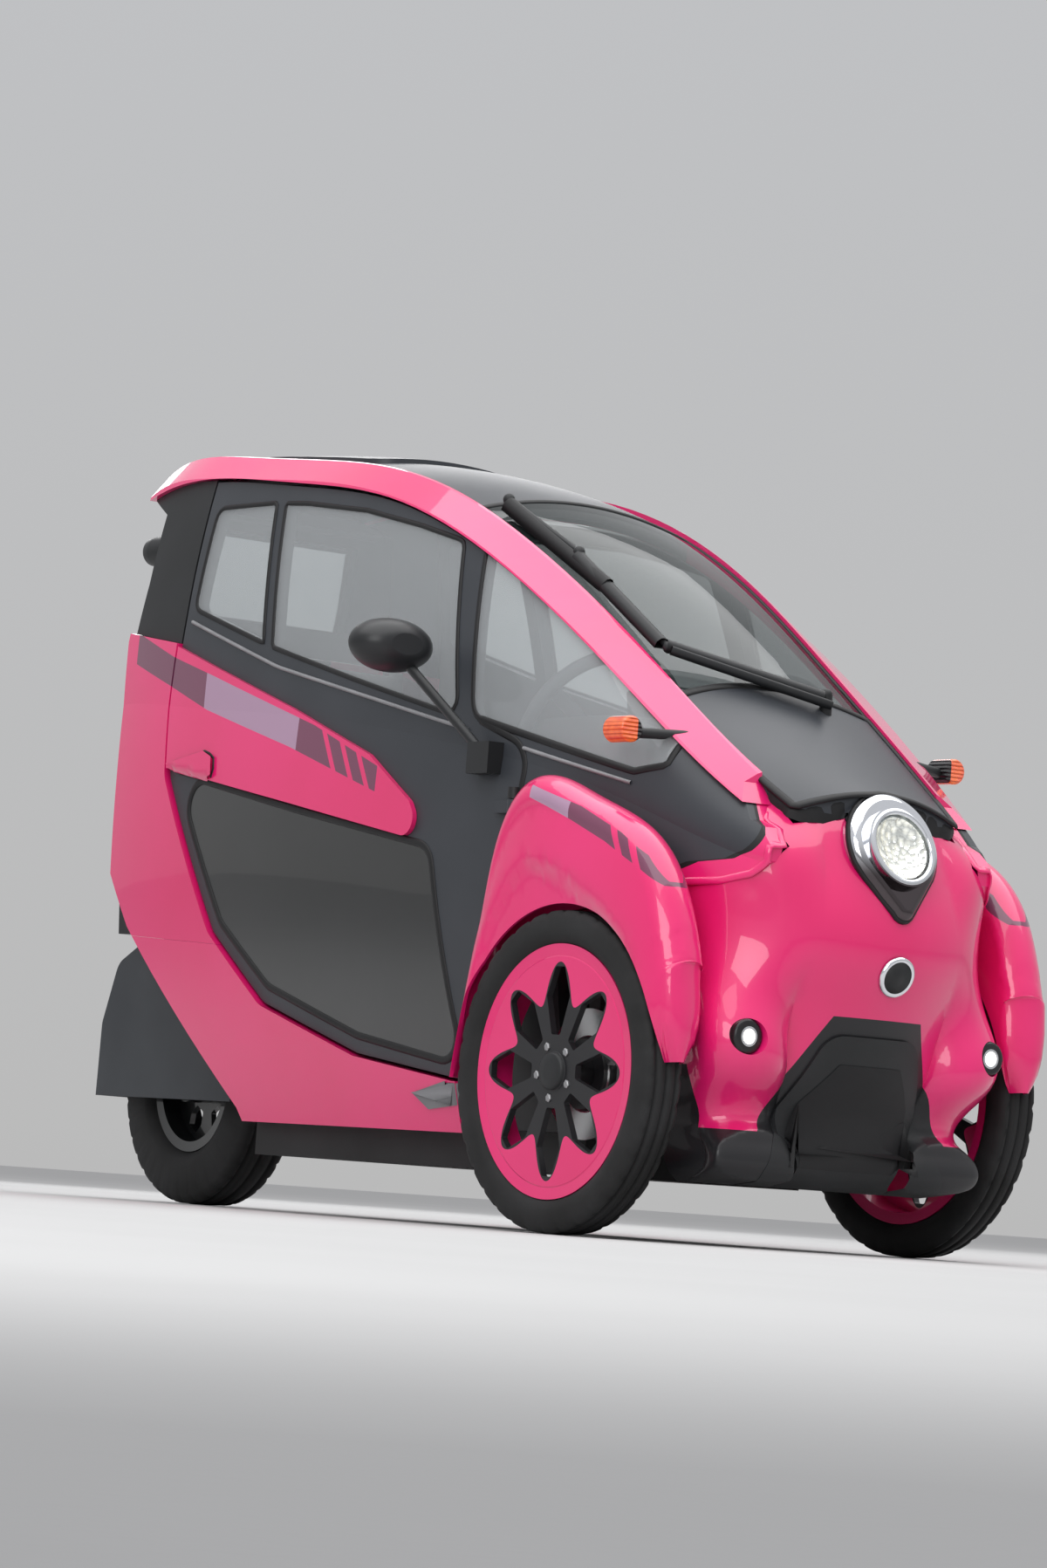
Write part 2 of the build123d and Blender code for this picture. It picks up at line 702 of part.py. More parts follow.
# Nose, the chin between its legs, and lamps
with BuildPart() as chin_space:
    with BuildSketch(Plane.YZ.offset(front_axle_x + 120)) as chin_sketch:
        with BuildLine():
            left_edge = [(-y, z) for y, z in reversed(chin_front)]
            Polyline(*chin_front, *left_edge, close=True)
        make_face()
        fillet(chin_sketch.vertices().group_by(Axis.Y)[-1], chin_rounding)
    extrude(amount=400)
ring_front = lamp_plane.offset(headlamp_ring_front)
with BuildPart() as headlamp_lens:
    with BuildSketch(ring_front):
        with Locations((0, headlamp_ring_up)):
            Circle(headlamp_lens_radius)
    extrude(amount=-headlamp_lens_depth)
    fillet(headlamp_lens.edges().filter_by(GeomType.CIRCLE).sort_by(Axis.X)[-1], 8)
with BuildPart() as headlamp:
    add(headlamp_form(0, 60))
    with BuildSketch(lamp_plane):
        with Locations((0, headlamp_ring_up)):
            Circle(headlamp_ring_radius)
    extrude(amount=headlamp_ring_front + 4)
    with BuildSketch(ring_front.offset(4)):
        with Locations((0, headlamp_ring_up)):
            Circle(headlamp_lens_radius + seat_gap)
    extrude(amount=-headlamp_lens_depth - 4 - seat_gap, mode=Mode.SUBTRACT)
keep(headlamp.part, "headlamp_housing")
keep(headlamp_lens.part, "headlamp_lens")

with BuildPart() as fog_lamp:
    with BuildSketch(Plane.YZ.offset(fog_centre[0] - 50)):
        with Locations((fog_centre[1], fog_centre[2])):
            Circle(fog_radius)
    extrude(amount=50)
    fillet(fog_lamp.edges().group_by(Axis.X)[-1], 6)
keep(both_sides(fog_lamp.part), "fog_lamps")

arm_window = [(-150.0, 90.0), (-150.0, 430.0), (85.0, 430.0), (150.0, 400.0), (150.0, 90.0)]
beside_nose = cabin_hull(-pink_proud - seat_gap)
rail_room = common(
    beside_nose, side_prism(rail_outline, -600, 600, -seat_gap), above_rails(seat_gap)
)
bonnet_room = common(
    beside_nose, between_rails(seat_gap, -600, bonnet_front + seat_gap, bonnet_front_sag)
)
cheek_room = common(beside_nose, side_prism(cheek_outline, 30, 600, -seat_gap))
nose_hollow = nose_hull(nose_wall)
with BuildPart() as nose:
    add(nose_hull(0))
    add(nose_hollow, mode=Mode.SUBTRACT)
    add(chin_space.part, mode=Mode.SUBTRACT)
    add(lamp_room.part, mode=Mode.SUBTRACT)
    add(rail_room, mode=Mode.SUBTRACT)
    add(bonnet_room, mode=Mode.SUBTRACT)
    add(both_sides(cheek_room), mode=Mode.SUBTRACT)
    add(side_prism(arm_window, -600, 600), mode=Mode.SUBTRACT)
    with BuildSketch(Plane.YZ.offset(fog_centre[0] - 50 - seat_gap)):
        with Locations((fog_centre[1], fog_centre[2]), (-fog_centre[1], fog_centre[2])):
            Circle(fog_radius + seat_gap)
    extrude(amount=200, mode=Mode.SUBTRACT)
keep(nose.part, "nose_panel")
chin = common(without(nose_hull(-chin_proud), nose_hollow), chin_space.part)
keep(chin, "chin")

# Fenders, hollow above the tyres
def fender_hull(inset):
    """The fender's outer form, or that form drawn in by inset and open at its ends."""
    with BuildPart() as hull:
        for number, (angle, ridge, ridge_y, outside, inside) in enumerate(fender_sections):
            if inset > 0 and number == 0:
                angle += fender_open_end
            if inset > 0 and number == len(fender_sections) - 1:
                angle -= fender_open_end
            turn = math.radians(angle)
            plane = Plane(
                origin=(front_axle_x, 0, front_tyre_radius),
                x_dir=(0, 1, 0),
                z_dir=(math.sin(turn), 0, -math.cos(turn)),
            )
            top = ridge - inset
            out = outside - inset
            back = inside + inset
            shoulder = top - 10 - 0.2 * (ridge - arch_radius)
            with BuildSketch(plane):
                with BuildLine():
                    Line((back, fender_foot), (back, top - 24))
                    ThreePointArc((back, top - 24), (ridge_y, top), (out - 7, shoulder))
                    middle = (out + 1.5, (shoulder + fender_foot) / 2)
                    ThreePointArc((out - 7, shoulder), middle, (out, fender_foot))
                    Line((out, fender_foot), (back, fender_foot))
                make_face()
        loft()
    return hull.part


with BuildPart() as fender:
    add(fender_hull(0))
    add(fender_hull(fender_wall), mode=Mode.SUBTRACT)
    with BuildSketch(Plane.XZ.offset(-200)):
        with Locations((front_axle_x, front_tyre_radius)):
            Circle(arch_radius)
    extrude(amount=-400, mode=Mode.SUBTRACT)
    with Locations((front_axle_x, 0, fender_low)):
        Box(1000, 1000, 400, align=(Align.CENTER, Align.CENTER, Align.MAX), mode=Mode.SUBTRACT)
    with Locations((door_hinge_x + 6, door_hinge_y - 10, (hinge_heights[0] + hinge_heights[1]) / 2)):
        Box(52, 60, hinge_heights[1] - hinge_heights[0] + 8 * hinge_half, mode=Mode.SUBTRACT)
    with Locations((front_axle_x, stay_outside + seat_gap, stay_top - 15)):
        Box(30, 10, 24, align=(Align.CENTER, Align.MIN, Align.CENTER))
keep(both_sides(fender.part), "front_fenders")

# Floor with its bulkheads, and the battery under the seats
with BuildPart() as low_floor:
    add(side_prism(floor_outline, -floor_half_width, floor_half_width))
    with Locations((0, 0, 0)):
        Box(4000, 1000, 2 * (floor_line + panel_wall + 3), mode=Mode.INTERSECT)
    rail_x = (floor_outline[0][0] + floor_outline[-1][0]) / 2 + front_axle_x
    rail_y = floor_half_width - floor_wall / 2
    with Locations(*[(rail_x, y, floor_bottom) for y in (-rail_y, rail_y)]):
        Box(
            floor_outline[-1][0] - floor_outline[0][0],
            floor_wall,
            floor_line + panel_wall - floor_bottom,
            align=(Align.CENTER, Align.CENTER, Align.MIN),
        )
with BuildPart() as floor_tray:
    add(low_floor.part)
    add(common(side_prism(floor_outline, -320, 320), lining))
keep(floor_tray.part, "floor_tray")
with BuildPart() as battery:
    with BuildSketch(Plane.XY.offset(floor_bottom + floor_wall + seat_gap)):
        with Locations((front_axle_x + battery_middle, 0)):
            RectangleRounded(battery_length, battery_width, 20)
    extrude(amount=battery_top - floor_bottom - floor_wall - seat_gap)
keep(battery.part, "battery_case")

# Seats in line: columns are the label, the side view and the half-width
seat_forms = [
    (
        "seat_front_cushion",
        [(-980, 300.3), (-985, 412), (-480, 455), (-470, 350), (-520, 300.3)],
        200,
    ),
    ("seat_front_back", [(-890, 420.4), (-1000, 960), (-1060, 960), (-975, 413.2)], 195),
    ("seat_rear_cushion", [(-1448, 576.3), (-1450, 636), (-1130, 655), (-1100, 576.3)], 190),
    ("seat_rear_back", [(-1368, 641.2), (-1400, 1080), (-1455, 1080), (-1443, 636.7)], 185),
]
for label, outline, half in seat_forms:
    with BuildPart() as pad:
        add(side_prism(outline, -half, half))
        fillet(pad.edges().filter_by(Axis.Y), 18)
    keep(pad.part, label)

# Dashboard with its pod and the steering column
steering_axis = (
    -math.cos(math.radians(steering_tilt)), 0.0, math.sin(math.radians(steering_tilt))
)
steering_plane = Plane(origin=steering_centre, x_dir=(0, 1, 0), z_dir=steering_axis)
with BuildPart() as dashboard:
    add(common(side_prism(dash_outline, -330, 330), lining))
    with BuildSketch(steering_plane.offset(-steering_hub_depth - seat_gap)):
        Circle(34)
    extrude(amount=-160)
    add(side_prism([(-300, 870), (-318, 968), (-262, 984), (-200, 880)], -80, 80))
keep(dashboard.part, "dashboard")
with BuildPart() as steering_wheel:
    with BuildSketch(steering_plane.offset(-6)):
        with PolarLocations(steering_wheel_radius / 2, 3, start_angle=90):
            Rectangle(steering_wheel_radius - 6, steering_spoke_width)
        Circle(steering_hub_radius)
    extrude(amount=12)
    with BuildSketch(steering_plane.offset(6)):
        Circle(steering_hub_radius)
    extrude(amount=-steering_hub_depth - 6, taper=10)
    with BuildLine(steering_plane) as grip_path:
        CenterArc((0, 0), steering_wheel_radius, 0, 360)
    with BuildSketch(Plane(origin=grip_path.line @ 0, z_dir=grip_path.line % 0)):
        Circle(steering_grip_radius)
    sweep(path=grip_path.line)
keep(steering_wheel.part, "steering_wheel")

# Front suspension: cross member, arms, uprights, stub axles and calipers
arm_x = front_axle_x
with BuildPart() as half_suspension:
    with Locations((arm_x - 32, 0, 275)):
        Box(205, crossmember_half, 250, align=(Align.CENTER, Align.MIN, Align.CENTER))
    for height in arm_heights:
        with BuildSketch(Plane.XZ.offset(-crossmember_half)):
            with Locations((arm_x - 42, height), (arm_x + 38, height)):
                Circle(arm_radius)
        extrude(amount=-(knuckle_inside - crossmember_half) - knuckle_wall / 2)
    with BuildSketch(Plane.XZ.offset(-knuckle_inside)):
        with Locations((arm_x, front_tyre_radius)):
            SlotCenterToCenter(150, 70, rotation=90)
            Rectangle(118, 215)
    extrude(amount=-knuckle_wall)
    with BuildSketch(Plane.XZ.offset(-knuckle_inside)):
        with Locations((arm_x, front_tyre_radius)):
            Circle(axle_radius)
    extrude(amount=-(track / 2 + 24 - knuckle_inside))
    with BuildSketch(Plane.XZ.offset(-knuckle_inside)):
        with Locations((arm_x + 88, front_tyre_radius + 62)):
            Rectangle(66, 66, rotation=35)
    extrude(amount=-(disc_inside + disc_wall + 16 - knuckle_inside))
    with BuildSketch(Plane.XZ.offset(-(disc_inside - 2))):
        with Locations((arm_x, front_tyre_radius)):
            Circle(disc_radius + 4)
            Circle(axle_radius + 4, mode=Mode.SUBTRACT)
    extrude(amount=-(disc_wall + 4), mode=Mode.SUBTRACT)
    with Locations((arm_x, stay_outside, 330)):
        Box(30, 10, stay_top - 330, align=(Align.CENTER, Align.MAX, Align.MIN))
keep(both_sides(half_suspension.part), "front_suspension")


# Wheels: a rim turned about the axle, with windows, and a tyre on it
def revolved(centre, side, points):
    """A ring turned from points: distance outward from the wheel's middle, radius."""
    with BuildPart() as ring:
        with BuildSketch(Plane.YZ.offset(centre[0])):
            with BuildLine():
                Polyline(
                    *[(centre[1] + side * along, centre[2] + radius) for along, radius in points],
                    close=True,
                )
            make_face()
        revolve(axis=Axis(centre, (0, 1, 0)))
    return ring.part


def tyre_points(radius, width, rim_radius, rim_width):
    """The tyre's section, on the rim's flanges."""
    half = width / 2
    seat = rim_width / 2 - flange_width + 6
    side = [(seat, rim_radius + seat_gap), (half, rim_radius + 0.36 * width), (half * 0.86, radius)]
    return [(-along, out) for along, out in side] + side[::-1]


def rim_points(width, rim_radius, face, hub_inside, hub_outside, hub_radius, bore):
    half = width / 2
    seat = rim_radius - flange_height
    edge = half - flange_width
    return [
        (-edge - 6, rim_radius), (-edge - 2, rim_radius), (-edge, seat), (edge, seat),
        (edge + 2, rim_radius), (edge + 6, rim_radius), (edge + 4, seat - 8),
        (face + 6, seat - 10), (face + 6, hub_radius), (hub_outside, hub_radius - 6),
        (hub_outside, bore), (hub_inside, bore), (hub_inside, hub_radius),
        (face - 6, hub_radius), (face - 6, seat - 10), (-edge - 4, seat - 8),
    ]


def rim(centre, side, width, rim_radius, face, hub, windows):
    """A rim whose spoked face stands at face, cut by a ring of windows."""
    hub_inside, hub_outside, hub_radius = hub
    count, low, waist, high, low_width, waist_width, high_width = windows
    bore = axle_radius + running_gap
    profile = rim_points(width, rim_radius, face, hub_inside, hub_outside, hub_radius, bore)
    middle = (low + high) / 2
    reach = (high - low) / 2
    with BuildPart() as part:
        add(revolved(centre, side, profile))
        window_plane = Plane(origin=centre, x_dir=(1, 0, 0), z_dir=(0, -1, 0))
        with BuildSketch(window_plane) as holes:
            with PolarLocations(middle, count):
                Polygon(
                    (-reach, -low_width / 2), (waist - middle, -waist_width / 2),
                    (reach, -high_width / 2), (reach, high_width / 2),
                    (waist - middle, waist_width / 2), (-reach, low_width / 2), align=None,
                )
            fillet(holes.vertices(), 5)
        extrude(amount=width, both=True, mode=Mode.SUBTRACT)
    return part.part


def disc(centre, side):
    """The brake disc with its bell, carried by the hub."""
    near = disc_inside - track / 2
    return revolved(
        centre, side,
        [
            (near, 62), (near, disc_radius), (near + disc_wall, disc_radius),
            (near + disc_wall, 66), (near + 12, 60), (near + 12, 30), (near + 6, 30), (near + 6, 62),
        ],
    )


front_centre = (front_axle_x, track / 2, front_tyre_radius)
with BuildPart() as front_rim:
    add(rim(front_centre, 1, front_rim_width, front_rim_radius, 24, (-36, 34, 34), front_windows))
    add(disc(front_centre, 1))
front_tyre = revolved(
    front_centre,
    1,
    tyre_points(front_tyre_radius, front_tyre_width, front_rim_radius, front_rim_width),
)
keep(front_rim.part, "wheel_front_left_rim")
keep(mirrored(front_rim.part), "wheel_front_right_rim")
keep(front_tyre, "wheel_front_left_tyre")
keep(mirrored(front_tyre), "wheel_front_right_tyre")
rear_centre = (rear_axle_x, 0, rear_tyre_radius)
rear_rim = rim(rear_centre, 1, rear_rim_width, rear_rim_radius, 0, (-60, 60, 34), rear_windows)
keep(rear_rim, "wheel_rear_rim")
rear_tyre = revolved(
    rear_centre, 1, tyre_points(rear_tyre_radius, rear_tyre_width, rear_rim_radius, rear_rim_width)
)
keep(rear_tyre, "wheel_rear_tyre")

# Rear fork with its axle and steering shaft, and the guard that turns with it
with BuildPart() as fork:
    with BuildSketch(Plane.XZ.offset(-fork_leg_inside)):
        with BuildLine():
            Polyline(
                (rear_axle_x - 26, 205), (rear_axle_x + 26, 205), (rear_axle_x + 40, 400),
                (rear_axle_x + 44, fork_crown_high), (rear_axle_x - 44, fork_crown_high),
                (rear_axle_x - 40, 400), close=True,
            )
        make_face()
    extrude(amount=-fork_leg_wall)
    mirror(about=Plane.XZ)
    with BuildSketch(Plane.XY.offset(fork_crown_low)):
        with Locations((rear_axle_x, 0)):
            RectangleRounded(88, 2 * (fork_leg_inside + fork_leg_wall), 12)
    extrude(amount=fork_crown_high - fork_crown_low)
    with BuildSketch(Plane.XY.offset(fork_crown_high)):
        with Locations((rear_axle_x, 0)):
            Circle(head_shaft_radius)
    extrude(amount=head_shaft_length)
    with BuildSketch(Plane.XZ):
        with Locations((rear_axle_x, rear_tyre_radius)):
            Circle(axle_radius)
    extrude(amount=fork_leg_inside + fork_leg_wall + 14, both=True)
keep(fork.part, "rear_fork")
with BuildPart() as guard:
    add(side_prism(mudguard_outline, -mudguard_half, mudguard_half, 0, mudguard_rounding))
    inside = mudguard_half - mudguard_wall
    add(
        side_prism(mudguard_outline, -inside, inside, mudguard_wall, mudguard_rounding),
        mode=Mode.SUBTRACT,
    )
    with Locations((rear_axle_x, 0, mudguard_low)):
        Box(700, 400, 200, align=(Align.CENTER, Align.CENTER, Align.MAX), mode=Mode.SUBTRACT)
    with Locations((rear_axle_x, 0, fork_crown_high)):
        Cylinder(head_shaft_radius + seat_gap, 60, mode=Mode.SUBTRACT)
keep(guard.part, "rear_mudguard")

# Turn signals on stalks, door mirrors and the wiper
signal_x, signal_y, signal_z = signal_centre
with BuildPart() as signal:
    with BuildSketch(Plane.YZ.offset(signal_x - signal_length / 2)):
        with Locations((signal_y, signal_z)):
            Circle(signal_radius)
    extrude(amount=signal_length)
    fillet(signal.edges().filter_by(GeomType.CIRCLE), 6)
keep(both_sides(signal.part), "turn_signals")


def rod(start, end, radius):
    """A straight round rod between two points."""
    run = Vector(*end) - Vector(*start)
    with BuildPart() as part:
        with BuildSketch(Plane(origin=start, z_dir=tuple(run.normalized()))):
            Circle(radius)
        extrude(amount=run.length)
    return part.part


stalk_foot = (signal_x + 52, 225, signal_z)
stalk_end = (signal_x + 4, signal_y - 18, signal_z - 4)
stalk = without(rod(stalk_foot, stalk_end, 9), signal.part, cabin_hull(-pink_proud - seat_gap))
keep(both_sides(stalk), "signal_stalks")
mirror_x, mirror_y, mirror_z = mirror_centre
with BuildPart() as mirror_head:
    for ahead, share in ((-26.0, 0.97), (-6.0, 1.0), (22.0, 0.86), (44.0, 0.4)):
        with BuildSketch(Plane.YZ.offset(mirror_x + ahead)):
            with Locations((mirror_y, mirror_z)):
                Ellipse(82 * share, 48 * share)
    loft()
    add(rod(mirror_foot, (mirror_x, mirror_y - 20, mirror_z - 20), 9))
    with Locations(mirror_foot):
        Box(64, 44, 56)
mirror_part = without(mirror_head.part, cabin_hull(-skin_gap))
keep(mirror_part, "door_left_mirror")
keep(mirrored(mirror_part), "door_right_mirror")
wiper_points = [
    (front_axle_x + 24, 100, 972), (front_axle_x - 60, -190, 1026),
    (front_axle_x - 330, -198, 1206), (front_axle_x - 540, -208, 1312),
]
wiper_post = without(
    rod(wiper_points[0], (wiper_points[0][0], wiper_points[0][1], 900), 11),
    cabin_hull(-seat_gap),
)
with BuildPart() as wiper:
    for start, end in zip(wiper_points, wiper_points[1:]):
        add(rod(start, end, 6))
    for point in wiper_points:
        with Locations(point):
            Sphere(11)
    add(wiper_post)
keep(wiper.part, "wiper")
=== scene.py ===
import math
from functools import partial

import bmesh
import bpy
from mathutils import Matrix, Vector
from mathutils.bvhtree import BVHTree


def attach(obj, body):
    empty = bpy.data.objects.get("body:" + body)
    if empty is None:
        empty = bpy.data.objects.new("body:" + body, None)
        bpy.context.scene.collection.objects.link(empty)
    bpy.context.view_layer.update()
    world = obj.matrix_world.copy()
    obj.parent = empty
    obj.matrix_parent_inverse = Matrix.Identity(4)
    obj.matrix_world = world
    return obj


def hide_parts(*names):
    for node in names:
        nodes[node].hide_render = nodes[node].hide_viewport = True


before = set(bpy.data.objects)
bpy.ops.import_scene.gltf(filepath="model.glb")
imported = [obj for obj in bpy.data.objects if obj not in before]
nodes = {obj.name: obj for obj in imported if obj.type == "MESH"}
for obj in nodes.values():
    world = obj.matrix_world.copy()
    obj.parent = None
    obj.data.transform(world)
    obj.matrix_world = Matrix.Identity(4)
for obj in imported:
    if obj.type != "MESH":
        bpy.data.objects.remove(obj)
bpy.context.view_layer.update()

# Places in metres: +X forward, +Y the car's left, +Z up
FORWARD = Vector((1, 0, 0))
BACKWARD = Vector((-1, 0, 0))
LEFT = Vector((0, 1, 0))
SIDES = ((1, "left"), (-1, "right"))
FRONT_AXLE_X = 0.7725
REAR_AXLE_X = -0.9275
TRACK = 0.780
FRONT_TYRE_RADIUS = 0.275
REAR_TYRE_RADIUS = 0.235

# Places outside the car that rays start from: beside it, in front of it and behind it
BESIDE_Y = 0.7
BEFORE_X = 1.4
BEHIND_X = -1.3

# Stripes and lines in side view, as distance ahead of the front axle and height
SWOOSH_STRIPE_TOP = [
    (-1.600, 1.100), (-1.439, 1.046), (-1.285, 1.005), (-0.893, 0.895), (-0.640, 0.802),
]
SWOOSH_STRIPE_LOW = [
    (-1.600, 1.040), (-1.442, 0.990), (-1.289, 0.938), (-0.974, 0.858), (-0.640, 0.758),
]
SWOOSH_CUTS = (-0.850, -0.790, -0.735)
SWOOSH_PALE = (-1.300, -0.950)
FENDER_STRIPE_TOP = [
    (-0.110, 0.764), (0.029, 0.725), (0.144, 0.680), (0.212, 0.641), (0.252, 0.598),
]
FENDER_STRIPE_LOW = [
    (-0.110, 0.742), (0.005, 0.703), (0.109, 0.664), (0.204, 0.619), (0.252, 0.590),
]
FENDER_CUTS = (0.150, 0.198)
FENDER_PALE = (-0.120, 0.0)
STRIPE_SLANT = 0.6
STRIPE_HALF_GAP = 0.007
STRIPE_BEYOND_CUTS = 0.06
# Belt lines: their pale strips are a painted highlight along the panel edge under the side windows
BELT_ON_DOOR = [(-1.398, 1.113), (-1.062, 1.012), (-0.700, 0.935), (-0.425, 0.876)]
BELT_AHEAD = [(-0.398, 0.870), (-0.150, 0.815), (0.030, 0.775)]
HANDLE = [
    (-1.415, 0.838), (-1.272, 0.858), (-1.240, 0.846), (-1.236, 0.812), (-1.262, 0.800),
    (-1.395, 0.822),
]
STEP_TRIM = [(-0.565, 0.232), (-0.425, 0.262), (-0.425, 0.214), (-0.520, 0.204)]

# Seen from the front, as distance from the centre line and height
# Chin recess: a plate a shade darker than the chin, its darkness painted shade of the recess
CHIN_RECESS = [
    (-0.066, 0.318), (0.066, 0.318), (0.118, 0.250), (0.142, 0.140), (-0.142, 0.140),
    (-0.118, 0.250),
]
NOSE_DISC_Z = 0.471

# Border of a cheek panel's front face: height and distance from the centre line
CHEEK_FRONT = [
    (0.600, 0.330), (0.641, 0.297), (0.648, 0.272), (0.662, 0.259), (0.683, 0.248), (0.717, 0.230),
    (0.745, 0.222), (0.800, 0.190),
]
CHEEK_LINE = 0.007

# Fender crease above the wheel arch: degrees up from straight ahead and radius from the axle
FENDER_CREASE = [
    (35, 0.285), (59, 0.296), (80, 0.314), (100, 0.362), (107, 0.378), (117, 0.360), (124, 0.342),
    (140, 0.305), (152, 0.285),
]
CREASE_OUTSIDE_Y = 0.40
CREASE_DEPTH = 0.011
CREASE_WIDTH = 0.022

# Fender front: below this angle it is drawn down, and it narrows to a tip between two angles
FENDER_LOWEST = -60.0
FENDER_BEND = 33.0
FENDER_DRAWN = 1.35
TIP_START = 26.0
TIP_END = 4.0
TIP_Y = 0.380
TIP_NARROWED = 0.93
TIP_LIFT = 0.012

# Uneven skin round the bend, which is smoothed: degrees up from straight ahead and least radius
BEND_FROM = 26.0
BEND_TO = 40.0
BEND_RADIUS = 0.30
SMOOTH_ROUNDS = 8

# Lower lip of the nose, drawn back towards a place ahead of the front axle
LIP_TOP_Z = 0.265
LIP_HEIGHT = 0.09
LIP_KEPT = 0.290
LIP_DRAWN = 0.82

# Meshes: distance for joining points, and the least angle of a sharp edge in degrees
WELD = 0.00002
SHARP_ANGLE = 38.0

# Skins: least cosine between a skin's first faces and its aim, and between faces at a gentle bend
STRAIGHT_ON = 0.8
GENTLE_BEND = 0.85

# Front lamp: centre, backward tilt in degrees, and the ring's rise along the lamp's face
LAMP_CENTRE = Vector((FRONT_AXLE_X + 0.352, 0.0, 0.672))
LAMP_TILT = 19.0
LAMP_RING_UP = 0.010
FOG_Y = 0.266
FOG_Z = 0.351

# Turned pieces: distance along the axis and radius
LAMP_BOWL = [(0.008, 0.0), (0.009, 0.018), (0.013, 0.034), (0.020, 0.048), (0.026, 0.055)]
LAMP_BEZEL = [(0.030, 0.0585), (0.0335, 0.0595), (0.0345, 0.063), (0.0335, 0.068), (0.031, 0.0705)]
NOSE_RING = [(0.0, 0.036), (0.0045, 0.035), (0.006, 0.031), (0.0045, 0.028), (0.0045, 0.0)]
NOSE_FACE = [(0.0, 0.028), (0.0056, 0.0278), (0.0062, 0.0)]
TAIL_KNOB = [(-0.003, 0.028), (0.040, 0.030), (0.062, 0.027), (0.074, 0.017), (0.078, 0.0)]
HUB_CAP = [(0.026, 0.033), (0.036, 0.032), (0.0385, 0.028), (0.0392, 0.014), (0.0392, 0.0)]
BOLT_HEAD = [(0.025, 0.0075), (0.032, 0.0075), (0.0335, 0.005), (0.0335, 0.0)]

# Wheel bolts: radius of their ring and number
BOLT_RING = 0.046
BOLT_COUNT = 5

# Tyres: half-width, outer radius and radius of the seat on the rim
FRONT_TYRE = (0.040, FRONT_TYRE_RADIUS, 0.2175)
REAR_TYRE = (0.060, REAR_TYRE_RADIUS, 0.1325)

# Strips: width and height
WINDOW_STRIP = (0.009, 0.0030)
QUARTER_STRIP = (0.010, 0.0030)
PANEL_STRIP = (0.014, 0.0030)
CHEEK_STRIP = (0.013, 0.0025)
DOOR_BELT_STRIP = (0.007, 0.0045)
BELT_STRIP = (0.007, 0.0040)
HANDLE_STRIP = (0.006, 0.0020)
WINDSCREEN_STRIP = (0.014, 0.003)
BONNET_STRIP = (0.016, 0.004)
REAR_STRIP = (0.016, 0.004)
LAMP_STRIP = (0.010, 0.003)
WIPER_ROD_STRIP = (0.026, 0.014)
WIPER_BLADE_STRIP = (0.026, 0.018)
WIPER_COVER_STRIP = (0.024, 0.012)
WIPER_SECOND_STRIP = (0.012, 0.010)

# Steps of points along a strip, on a side-view line and on the edge of a piece
LINE_STEP = 0.02
EDGE_STEP = 0.012

# Plates laid on the skin: how far each stands out
HANDLE_LIFT = 0.007
STEP_TRIM_LIFT = 0.003
RECESS_LIFT = 0.0012

# Seat pads: node, side view and half-width
SEATS = [
    ("seat_front_cushion", [
        (-0.972, 0.304), (-0.978, 0.408), (-0.800, 0.425), (-0.560, 0.444), (-0.486, 0.446),
        (-0.474, 0.352), (-0.525, 0.304),
    ], 0.198),
    ("seat_front_back", [
        (-0.893, 0.424), (-0.930, 0.600), (-0.998, 0.930), (-1.020, 0.956), (-1.056, 0.950),
        (-1.020, 0.700), (-0.970, 0.416),
    ], 0.193),
    ("seat_rear_cushion", [
        (-1.440, 0.580), (-1.444, 0.632), (-1.290, 0.642), (-1.140, 0.650), (-1.112, 0.620),
        (-1.112, 0.580),
    ], 0.188),
    ("seat_rear_back", [
        (-1.372, 0.645), (-1.385, 0.850), (-1.402, 1.070), (-1.450, 1.076), (-1.440, 0.850),
        (-1.438, 0.642),
    ], 0.183),
]
SEAT_RIM = 0.025

# Colours, each with the darker shade of its soft patches
PINK = (0.80, 0.012, 0.165)
PINK_SHADE = (0.74, 0.009, 0.135)
PANEL = (0.040, 0.044, 0.052)
PANEL_SHADE = (0.034, 0.038, 0.045)
RUBBER = (0.010, 0.010, 0.011)
RUBBER_SHADE = (0.006, 0.006, 0.007)
UNDERSIDE = (0.020, 0.020, 0.021)
UNDERSIDE_SHADE = (0.010, 0.010, 0.010)
CHROME = (0.78, 0.80, 0.84)
HOUSING = (0.02, 0.02, 0.022)
BLACK_PART = {"Base Color": (0.014, 0.014, 0.016), "Roughness": 0.42, "Coat Weight": 0.2}

# Camera: it stands just above the floor, ahead of the car's right side
VIEW_TARGET = Vector((0.2725, 0.0, 0.700))
VIEW_AZIMUTH = 54.0
VIEW_ELEVATION = -4.28
VIEW_ROLL = 4.0
VIEW_DISTANCE = 10.0
PHOTO_WIDTH = 1200
PHOTO_HEIGHT = 1797
FOCAL_PIXELS = 6314.0
TARGET_PIXEL = (677.2, 970.9)
SENSOR_HEIGHT = 36.0

# Lights: name, place, aim, size and power
LIGHTS = [
    ("overhead", (0.6, 0.0, 5.0), (0, 0, 0.6), (9.0, 7.0), 330),
    ("front_right", (5.2, -5.6, 3.2), (0.2, 0, 0.7), (4.5, 3.5), 170),
    ("behind", (-5.0, 2.5, 3.0), (0, 0, 0.8), (3.0, 2.5), 70),
]

# Room: height in the world from 0, straight down, to 1, and the colour there
ROOM_SHADES = [
    (0.40, (0.30, 0.30, 0.30)), (0.502, (0.62, 0.62, 0.62)), (0.62, (0.66, 0.67, 0.69)),
    (0.95, (1.0, 1.0, 1.02)),
]
ROOM_STRENGTH = 0.8
FLOOR_RADIUS = 60.0


# Camera, lights and room
def add_object(name, data):
    item = bpy.data.objects.new(name, data)
    bpy.context.scene.collection.objects.link(item)
    return item


